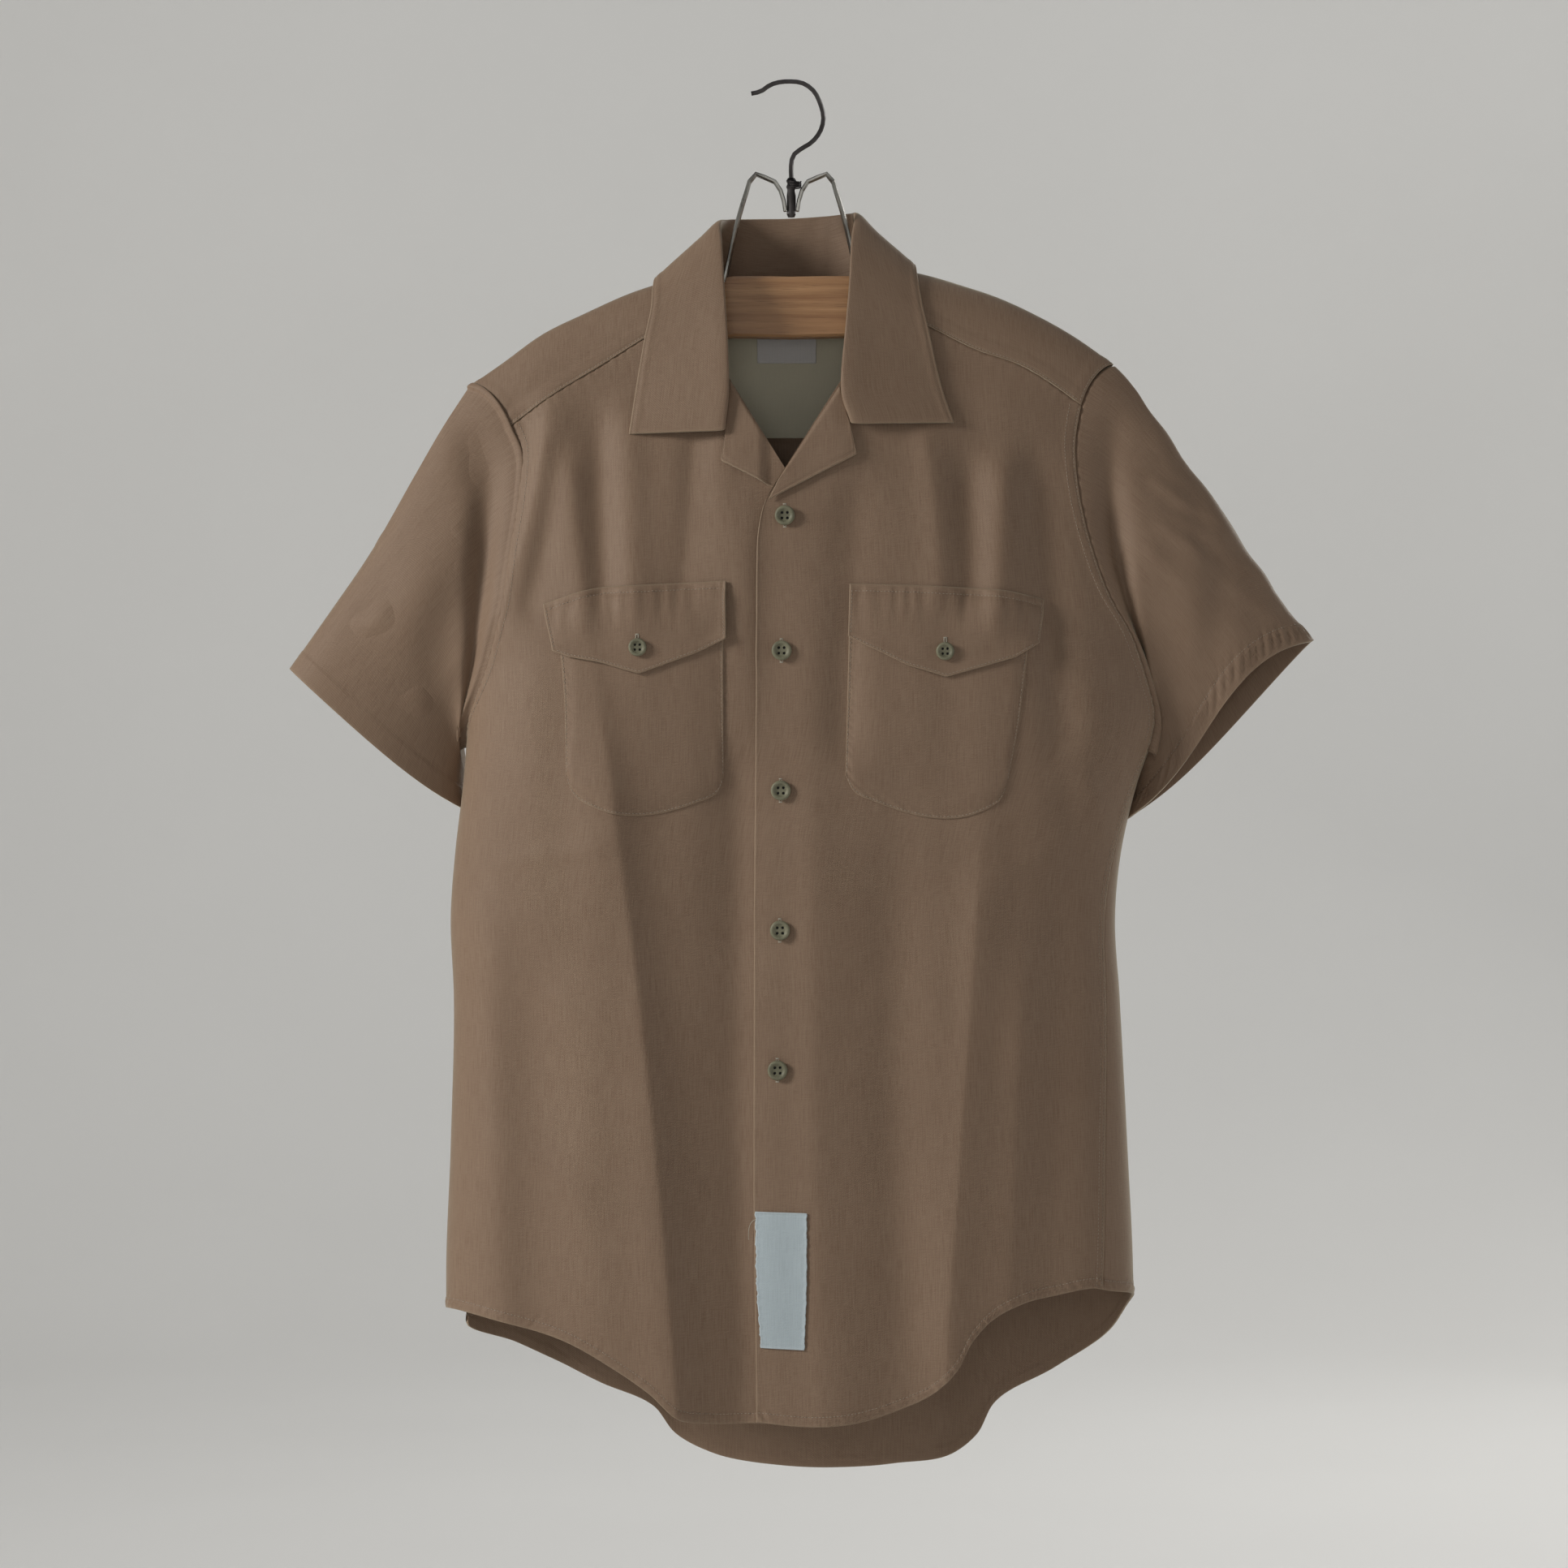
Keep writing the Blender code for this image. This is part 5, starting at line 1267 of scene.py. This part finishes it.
# %% Make the lining and the labels
lining_finish = make_twill("lining_cloth", (0.62, 0.58, 0.43, 1), (0.74, 0.70, 0.54, 1), (0.82, 0.78, 0.63, 1),
                           0.6, 0.3, 0.6)
label_finish = make_twill("label_cloth", (0.36, 0.42, 0.46, 1), (0.50, 0.585, 0.63, 1), (0.74, 0.82, 0.86, 1),
                          0.6, 0.15, 0.8)
neck_finish = make_twill("neck_label_cloth", (0.66, 0.66, 0.66, 1), (0.80, 0.79, 0.78, 1),
                         (0.88, 0.87, 0.86, 1), 0.6, 0.1, 0.8)
LABELS = {
    "neck": dict(top=[(-23.2, -165.4), (16.8, -165.4)], bottom=[(-23.0, -181.6), (16.6, -181.6)],
                 left=[(-23.2, -165.4), (-23.0, -181.6)], right=[(16.8, -165.4), (16.6, -181.6)]),
    "patch": dict(top=[(-23.1, -738.6), (10.2, -739.2)], bottom=[(-19.4, -826.4), (8.6, -827.4)],
                  left=[(-23.1, -738.6), (-22.0, -790), (-19.4, -826.4)],
                  right=[(10.2, -739.2), (10, -790), (8.6, -827.4)]),
}
LINING_LIFT, LINING_HALF_WALL = -2.1, 0.4
LINING = dict(top=[(-98, -147), (98, -147)], bottom=[(-98, -231), (98, -231)],
              left=[(-98, -147), (-98, -231)], right=[(98, -147), (98, -231)])


def add_label(kind, name, lift, size, front, ragged):
    """Thin cloth patch whose sides wander a little and whose woven edge curls up."""
    u, v = spread(size[0], 1.2, SHORT, SHORT), spread(size[1], 1.4, SHORT, SHORT)
    places = patch_places(LABELS[kind], u, v)
    left, right, bottom, top = patch_distances(places)
    wander = ragged * (0.5 * puckers(places[..., 1], 11.0) + 0.4 * puckers(places[..., 1], 4.1, 2.0))
    places = places + np.stack([wander * (bump(left, 0, 3) - 0.6 * bump(right, 0, 3)), 0 * wander], axis=-1)
    near = np.minimum(np.minimum(left, right), np.minimum(bottom, top))
    curl = 0.35 * bump(near, 0, 1.1)
    curl = curl + ragged * 0.5 * puckers(places[..., 1], 5.0) * bump(near, 0.5, 2.2)
    height = lift + (curl if front else -curl)
    half = np.full_like(height, 0.28)
    finish = neck_finish if kind == "neck" else label_finish
    return add_laid(name, places, finish, height, half, half, edge_light(near), front)


lining_places = patch_places(LINING, spread(196, 3.0), spread(84, 2.6))
level = np.ones(lining_places.shape[:2])
lining, area = add_laid("cloth_yoke_lining", lining_places, lining_finish, LINING_LIFT * level,
                        LINING_HALF_WALL * level, LINING_HALF_WALL * level, front=False)
declare(lining, area, "yoke_lining")
neck_label, area = add_label("neck", "neck_label_cloth", -3.1, (40, 16), False, 0.1)
declare(neck_label, area, "neck_label")
patch_label, area = add_label("patch", "patch_label_cloth", 1.0, (33, 88), True, 0.55)
declare(patch_label, area, "patch_label")

# %% [markdown]
# A loose thread hangs from the upper left corner of the patch. It is a quadratic curve between two ends, with a
# third place that pulls it outward, laid on the cloth as a chain of spindles that overlap.

# %% Add the loose thread
THREAD_START, THREAD_PULL, THREAD_END = (-22.2, -743.5), (-28.5, -745), (-27.4, -757)
THREAD_LIFT, THREAD_PIECE, THREAD_RADIUS = 1.2, 2.1, 0.17
share = np.linspace(0, 1, 14)[:, None]
path = (1 - share) ** 2 * THREAD_START + 2 * share * (1 - share) * THREAD_PULL + share**2 * THREAD_END
normal = ring_normals(ring_of(path[:, 0], path[:, 1]), path[:, 1])
path = body_face(path[:, 0], path[:, 1]) + normal * THREAD_LIFT
add_spindles("patch_label_thread", (path[1:] + path[:-1]) / 2, np.diff(path, axis=0), normal[1:],
             THREAD_PIECE, THREAD_RADIUS, pale_thread)
print("loose thread of", len(path) - 1, "spindles")

# %% [markdown]
# ## Buttons
# The buttons are grey-green plastic with a raised rim, a dished face and four holes. Each is one polar grid: the
# profile gives its height from the centre out, and four small round wells are sunk into the face. Their floors
# are painted near black as painted shade, the shade inside the holes.

# %% Make the buttons
button_finish = Finish("button_plastic", Roughness=0.5, IOR=1.45)
place = button_finish.add("TexCoord", output="Object")
cloud = button_finish.noise(place, (160, 160, 160), 3.0)
painted_hole_shade = button_finish.add("Attribute", output="Fac", attribute_name="edge")
clouded = button_finish.spread(cloud, 0.35, 0.65)
plastic = button_finish.mix(clouded, (0.165, 0.16, 0.105, 1), (0.235, 0.225, 0.15, 1))
# Painted shade: where the hole mark is set, the plastic is mixed to near black for the shade inside the four
# holes.
button_tone = button_finish.mix(painted_hole_shade, plastic, (0.012, 0.011, 0.01, 1))
button_finish.feed(button_finish.shader.inputs["Base Color"], button_tone)
button_finish.feed(button_finish.shader.inputs["Normal"], button_finish.relief(cloud, 0.0004, 0.15))
BUTTON_PROFILE = columns("reach depth", [
    (0.0, 1.55), (0.3, 1.6), (0.5, 1.72), (0.58, 2.0), (0.66, 2.55), (0.76, 2.8), (0.88, 2.72), (0.95, 2.35),
    (1.0, 1.6), (0.97, 0.7), (0.86, 0.1), (0.5, 0.0), (0.0, 0.0),
])
FRONT_BUTTONS = [(-4.3, -287.4), (-6.4, -375.3), (-6.9, -465.9), (-7.4, -556.5), (-9.0, -647.0)]
POCKET_BUTTONS = {"left": (-99.5, -373.3), "right": (99.3, -375.9)}
BUTTON_GAP, HOLE_REACH, HOLE_RADIUS = 0.3, 0.27, 0.14
FRONT_RADIUS, POCKET_RADIUS, FLAP_LIFT = 6.5, 5.9, 3.7


def button_base(place, radius, lift):
    """Depth of the cloth's outer side under a button: the furthest forward of the points round its rim."""
    turn = np.linspace(0, 2 * math.pi, 12, endpoint=False)
    x, z = place[0] + radius * np.cos(turn), place[1] + radius * np.sin(turn)
    return body_y(x, z, np.full(x.shape, True)).min() - 0.5 - lift - BUTTON_GAP


def add_button(name, node, place, radius, lift):
    """Button as a polar grid: profile height, less a well of soft edge at each of four holes, with its floor
    marked for painted shade.
    """
    face, rim, back_side = np.linspace(0.02, 0.5, 26), np.linspace(0.53, 1.0, 16), np.linspace(0.98, 0.02, 12)
    reach = np.concatenate([face, rim, back_side])
    knots = np.concatenate([[0], np.cumsum(np.abs(np.diff(BUTTON_PROFILE["reach"])) + 0.02)])
    at = np.concatenate([np.interp(reach[:42], BUTTON_PROFILE["reach"][:9], knots[:9]),
                         np.interp(reach[42:][::-1], BUTTON_PROFILE["reach"][8:][::-1], knots[8:][::-1])[::-1]])
    depth = smooth(at, knots, BUTTON_PROFILE["depth"])
    turn = np.linspace(0, 2 * math.pi, 72, endpoint=False)
    x, z = reach[:, None] * np.cos(turn), reach[:, None] * np.sin(turn)
    middles = [(a * HOLE_REACH, b * HOLE_REACH) for a in (-1, 1) for b in (-1, 1)]
    hole = np.minimum.reduce([np.hypot(x - across_it, z - down_it) for across_it, down_it in middles])
    top_side = (np.arange(len(reach)) < 30)[:, None]
    tall = depth[:, None] - np.where(top_side, 1.25 * soft_step((HOLE_RADIUS - hole) / 0.05), 0)
    base = button_base(place, radius, lift)
    points = np.stack([place[0] + radius * x, base - tall, place[1] + radius * z], axis=-1)
    count, sides = points.shape[:2]
    number = np.arange(count * sides).reshape(count, sides)
    ahead = np.roll(number, -1, axis=1)
    quads = np.stack([number[:-1], ahead[:-1], ahead[1:], number[1:]], axis=-1).reshape(-1, 4)
    middle_top, middle_low = count * sides, count * sides + 1
    centres = [[place[0], base - 1.55, place[1]], [place[0], base, place[1]]]
    points = np.concatenate([points.reshape(-1, 3), centres])
    first = np.stack([number[0], ahead[0], np.full(sides, middle_top)], axis=-1)
    last = np.stack([ahead[-1], number[-1], np.full(sides, middle_low)], axis=-1)
    halves = np.concatenate([quads[:, [0, 1, 2]], quads[:, [0, 2, 3]], first[:, ::-1], last[:, ::-1]])
    # Mark for the painted shade on the floors of the four wells.
    well = np.where(top_side, soft_step((HOLE_RADIUS + 0.01 - hole) / 0.03), 0)
    piece = add_mesh(name, points, halves, button_finish.material, marks=np.append(well.ravel(), [0, 0]))
    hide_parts(node)
    return piece


for number, place in enumerate(FRONT_BUTTONS, 1):
    add_button(f"button_front_{number}", f"front_button_{number}", place, FRONT_RADIUS, 0.0)
for side, place in POCKET_BUTTONS.items():
    add_button(f"button_pocket_{side}", f"pocket_button_{side}", place, POCKET_RADIUS, FLAP_LIFT)
print("buttons:", len(FRONT_BUTTONS) + len(POCKET_BUTTONS))

# %% [markdown]
# ## Buttonholes
# Each buttonhole is an upright slit edged with short stitches packed side by side, with a bar across its end.
# It is seen above and below a front button, and only above a pocket button.


# %% Sew the buttonholes
def add_buttonhole(name, place, lift, reach, whole):
    """Short stitches each side of a slit, from under the button to two longer ones across its end."""
    offsets = np.arange(3.6, reach - 0.7, 0.42)
    rows = [(x, dz, 0.85) for dz in offsets for x in (-0.75, 0.75)]
    rows += [(0, reach - 0.3, 2.7), (0, reach + 0.1, 2.7)]
    if whole:
        rows += [(x, -dz, size) for x, dz, size in rows]
    x, dz, size = np.array(rows).T
    x, z = place[0] + x, place[1] + dz
    grid = body_face(x, z)
    normal = ring_normals(ring_of(x, z), z)
    centres = grid + normal * (WALL / 2 + lift + 0.12)
    along = np.stack([np.ones_like(x), 0 * x, 0 * x], axis=1)
    return add_spindles(name, centres, along, normal, size[:, None, None], 0.2, pale_thread)


for number, place in enumerate(FRONT_BUTTONS, 1):
    add_buttonhole(f"buttonhole_front_{number}", place, 0.0, 7.6, True)
for side, place in POCKET_BUTTONS.items():
    add_buttonhole(f"buttonhole_pocket_{side}", place, 4.0, 8.6, False)

# %% [markdown]
# ## Hanger
# Two beech slats hold the shirt, with a dark steel hook and grey clamp wires. Their solids have the right shape
# already, so they stay and only get their finishes. The wood has a long grain with darker pores and a thin worn
# varnish. Each wire is metal with faint smears.

# %% Finish the hanger
beech = Finish("beech", Roughness=0.42, Coat_Weight=0.25, Coat_Roughness=0.25)
place = beech.add("TexCoord", output="Object")
grain = beech.noise(place, (9, 220, 230), 5.0, 0.6)
pores = beech.noise(place, (55, 900, 1500), 2.0)
broad = beech.noise(place, (3, 30, 34), 2.0)
tone = beech.mix(beech.spread(grain, 0.3, 0.7), (0.30, 0.135, 0.05, 1), (0.56, 0.31, 0.14, 1))
tone = beech.mix(beech.spread(broad, 0.4, 0.7, 0.0, 0.5), tone, (0.40, 0.19, 0.075, 1))
tone = beech.mix(beech.spread(pores, 0.62, 0.74, 0.0, 0.6), tone, (0.15, 0.062, 0.022, 1))
beech.feed(beech.shader.inputs["Base Color"], tone)
beech.feed(beech.shader.inputs["Normal"], beech.relief(pores, 0.0003, 0.3))


def make_metal(name, dark, bright, rough):
    """Drawn wire: metal with faint smears of tone and fine scratches."""
    f = Finish(name, Metallic=1.0)
    where = f.add("TexCoord", output="Object")
    smear = f.noise(where, (60, 60, 40), 4.0)
    fine = f.noise(where, (900, 900, 500), 2.0)
    f.feed(f.shader.inputs["Base Color"], f.mix(f.spread(smear, 0.3, 0.7), dark, bright))
    f.feed(f.shader.inputs["Roughness"], f.spread(smear, 0.3, 0.7, rough, rough + 0.18))
    f.feed(f.shader.inputs["Normal"], f.relief(fine, 0.0002, 0.15))
    return f.material


nickel = make_metal("nickel_wire", (0.28, 0.275, 0.255, 1), (0.56, 0.55, 0.51, 1), 0.2)
dark_steel = make_metal("dark_wire", (0.05, 0.045, 0.045, 1), (0.14, 0.13, 0.13, 1), 0.3)
for node, finish in (
    ("hanger_slat_front", beech.material), ("hanger_slat_back", beech.material), ("hanger_hook", dark_steel),
    ("hanger_ferrule", dark_steel), ("hanger_clamp_front_left", nickel), ("hanger_clamp_front_right", nickel),
    ("hanger_clamp_back_left", nickel), ("hanger_clamp_back_right", nickel),
):
    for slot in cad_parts[node].material_slots:
        slot.material = finish

# %% [markdown]
# A small coil spring sits round the foot of the hook. It is a helix of four and a half turns, made as a chain
# of spindles that overlap.

# %% Wind the spring
SPRING_X, SPRING_TOP, SPRING_TALL, SPRING_REACH, SPRING_TURNS = 2.4, -64.4, 4.4, 4.0, 4.5
SPRING_WIRE, SPRING_PIECE = 0.45, 1.75
turn = np.linspace(0, 2 * math.pi * SPRING_TURNS, 110)
fall = SPRING_TOP - SPRING_TALL * turn / turn[-1]
coil = np.stack([SPRING_X + SPRING_REACH * np.cos(turn), SPRING_REACH * np.sin(turn), fall], axis=1)
step = np.diff(coil, axis=0)
upward = np.tile([0.0, 0.0, 1.0], (len(step), 1))
add_spindles("hanger_spring", (coil[1:] + coil[:-1]) / 2, step, upward, SPRING_PIECE, SPRING_WIRE, dark_steel)
print("spring of", len(step), "spindles")

# %% [markdown]
# ## Stage, light and camera
# The floor is a wide pale bowl, so that the light comes back softly from all round and every side can be
# looked at. A lamp high on the left models the folds, as in the photograph. Weak ones in front and on the right
# open the shadows, one behind the shirt lights its back, and one above lights the pale wall beyond it.

# %% Stage, lamps and camera
stage_finish = Finish("stage", Roughness=0.9)
place = stage_finish.add("TexCoord", output="Object")
stage_cloud = stage_finish.noise(place, (1.5, 1.5, 1.5))
stage_tone = stage_finish.mix(stage_cloud, (0.74, 0.73, 0.71, 1), (0.79, 0.78, 0.76, 1))
stage_finish.feed(stage_finish.shader.inputs["Base Color"], stage_tone)
FLOOR, BOWL_FLAT, BOWL_ROUND, BOWL_WALL, BOWL_SIDES = -1350.0, 3800.0, 1800.0, 3200.0, 96
bend = np.linspace(0, math.pi / 2, 16)
reach = np.concatenate([[1, 1300, 2600], BOWL_FLAT + BOWL_ROUND * np.sin(bend), [BOWL_FLAT + BOWL_ROUND]])
rise = np.concatenate([[0, 0, 0], BOWL_ROUND * (1 - np.cos(bend)), [BOWL_ROUND + BOWL_WALL]]) + FLOOR
turn = np.linspace(0, 2 * math.pi, BOWL_SIDES, endpoint=False)
out = reach[:, None]
bowl = np.stack([out * np.cos(turn), out * np.sin(turn), rise[:, None] + 0 * turn], axis=-1)
number = np.arange(bowl.shape[0] * BOWL_SIDES).reshape(bowl.shape[0], BOWL_SIDES)
ahead = np.roll(number, -1, axis=1)
faces = np.stack([number[:-1], number[1:], ahead[1:], ahead[:-1]], axis=-1).reshape(-1, 4)
stage_mesh = bpy.data.meshes.new("stage")
stage_mesh.from_pydata((bowl.reshape(-1, 3) * METRE).tolist(), [], faces.tolist())
stage_mesh.materials.append(stage_finish.material)
stage_mesh.shade_smooth()
stage = bpy.data.objects.new("stage", stage_mesh)
bpy.context.scene.collection.objects.link(stage)


def add_lamp(name, place, aim, size, power, colour):
    """Square soft lamp, turned to face a place."""
    lamp = bpy.data.objects.new(name, bpy.data.lights.new(name, "AREA"))
    lamp.data.size, lamp.data.energy, lamp.data.color = size, power, colour
    lamp.location = place
    x, y, z = (a - b for a, b in zip(aim, place))
    lamp.rotation_euler = (math.acos(-z / math.sqrt(x * x + y * y + z * z)), 0, math.atan2(-x, y))
    bpy.context.scene.collection.objects.link(lamp)
    return lamp


add_lamp("key", (-2.6, -1.15, 0.6), (0, 0, -0.5), 0.8, 54, (1.0, 0.985, 0.95))
add_lamp("front", (-0.3, -3.6, -0.3), (0, 0, -0.35), 1.2, 6, (1.0, 0.99, 0.97))
add_lamp("back", (2.7, 3.2, 0.9), (0, 0, -0.5), 1.2, 45, (1.0, 0.99, 0.97))
add_lamp("right", (2.6, -0.5, -0.2), (0.1, 0, -0.55), 0.8, 7, (1.0, 0.99, 0.97))
add_lamp("behind", (0.8, 1.2, 2.6), (0.3, 5.0, 0.6), 2.4, 78, (0.99, 1.0, 1.0))
world = bpy.data.worlds.new("studio")
world.use_nodes = True
world.node_tree.nodes["Background"].inputs["Color"].default_value = (0.86, 0.9, 0.95, 1)
world.node_tree.nodes["Background"].inputs["Strength"].default_value = 0.08
bpy.context.scene.world = world
bpy.context.scene.view_settings.view_transform = "Standard"

camera = bpy.data.objects.new("camera", bpy.data.cameras.new("camera"))
camera.data.lens, camera.data.sensor_width = 97.5, 36.0
camera.data.clip_start, camera.data.clip_end = 0.05, 30
camera.location = (-0.0048, -2.8, -0.4617)
camera.rotation_euler = (math.pi / 2, 0, 0)
bpy.context.scene.collection.objects.link(camera)
bpy.context.scene.camera = camera
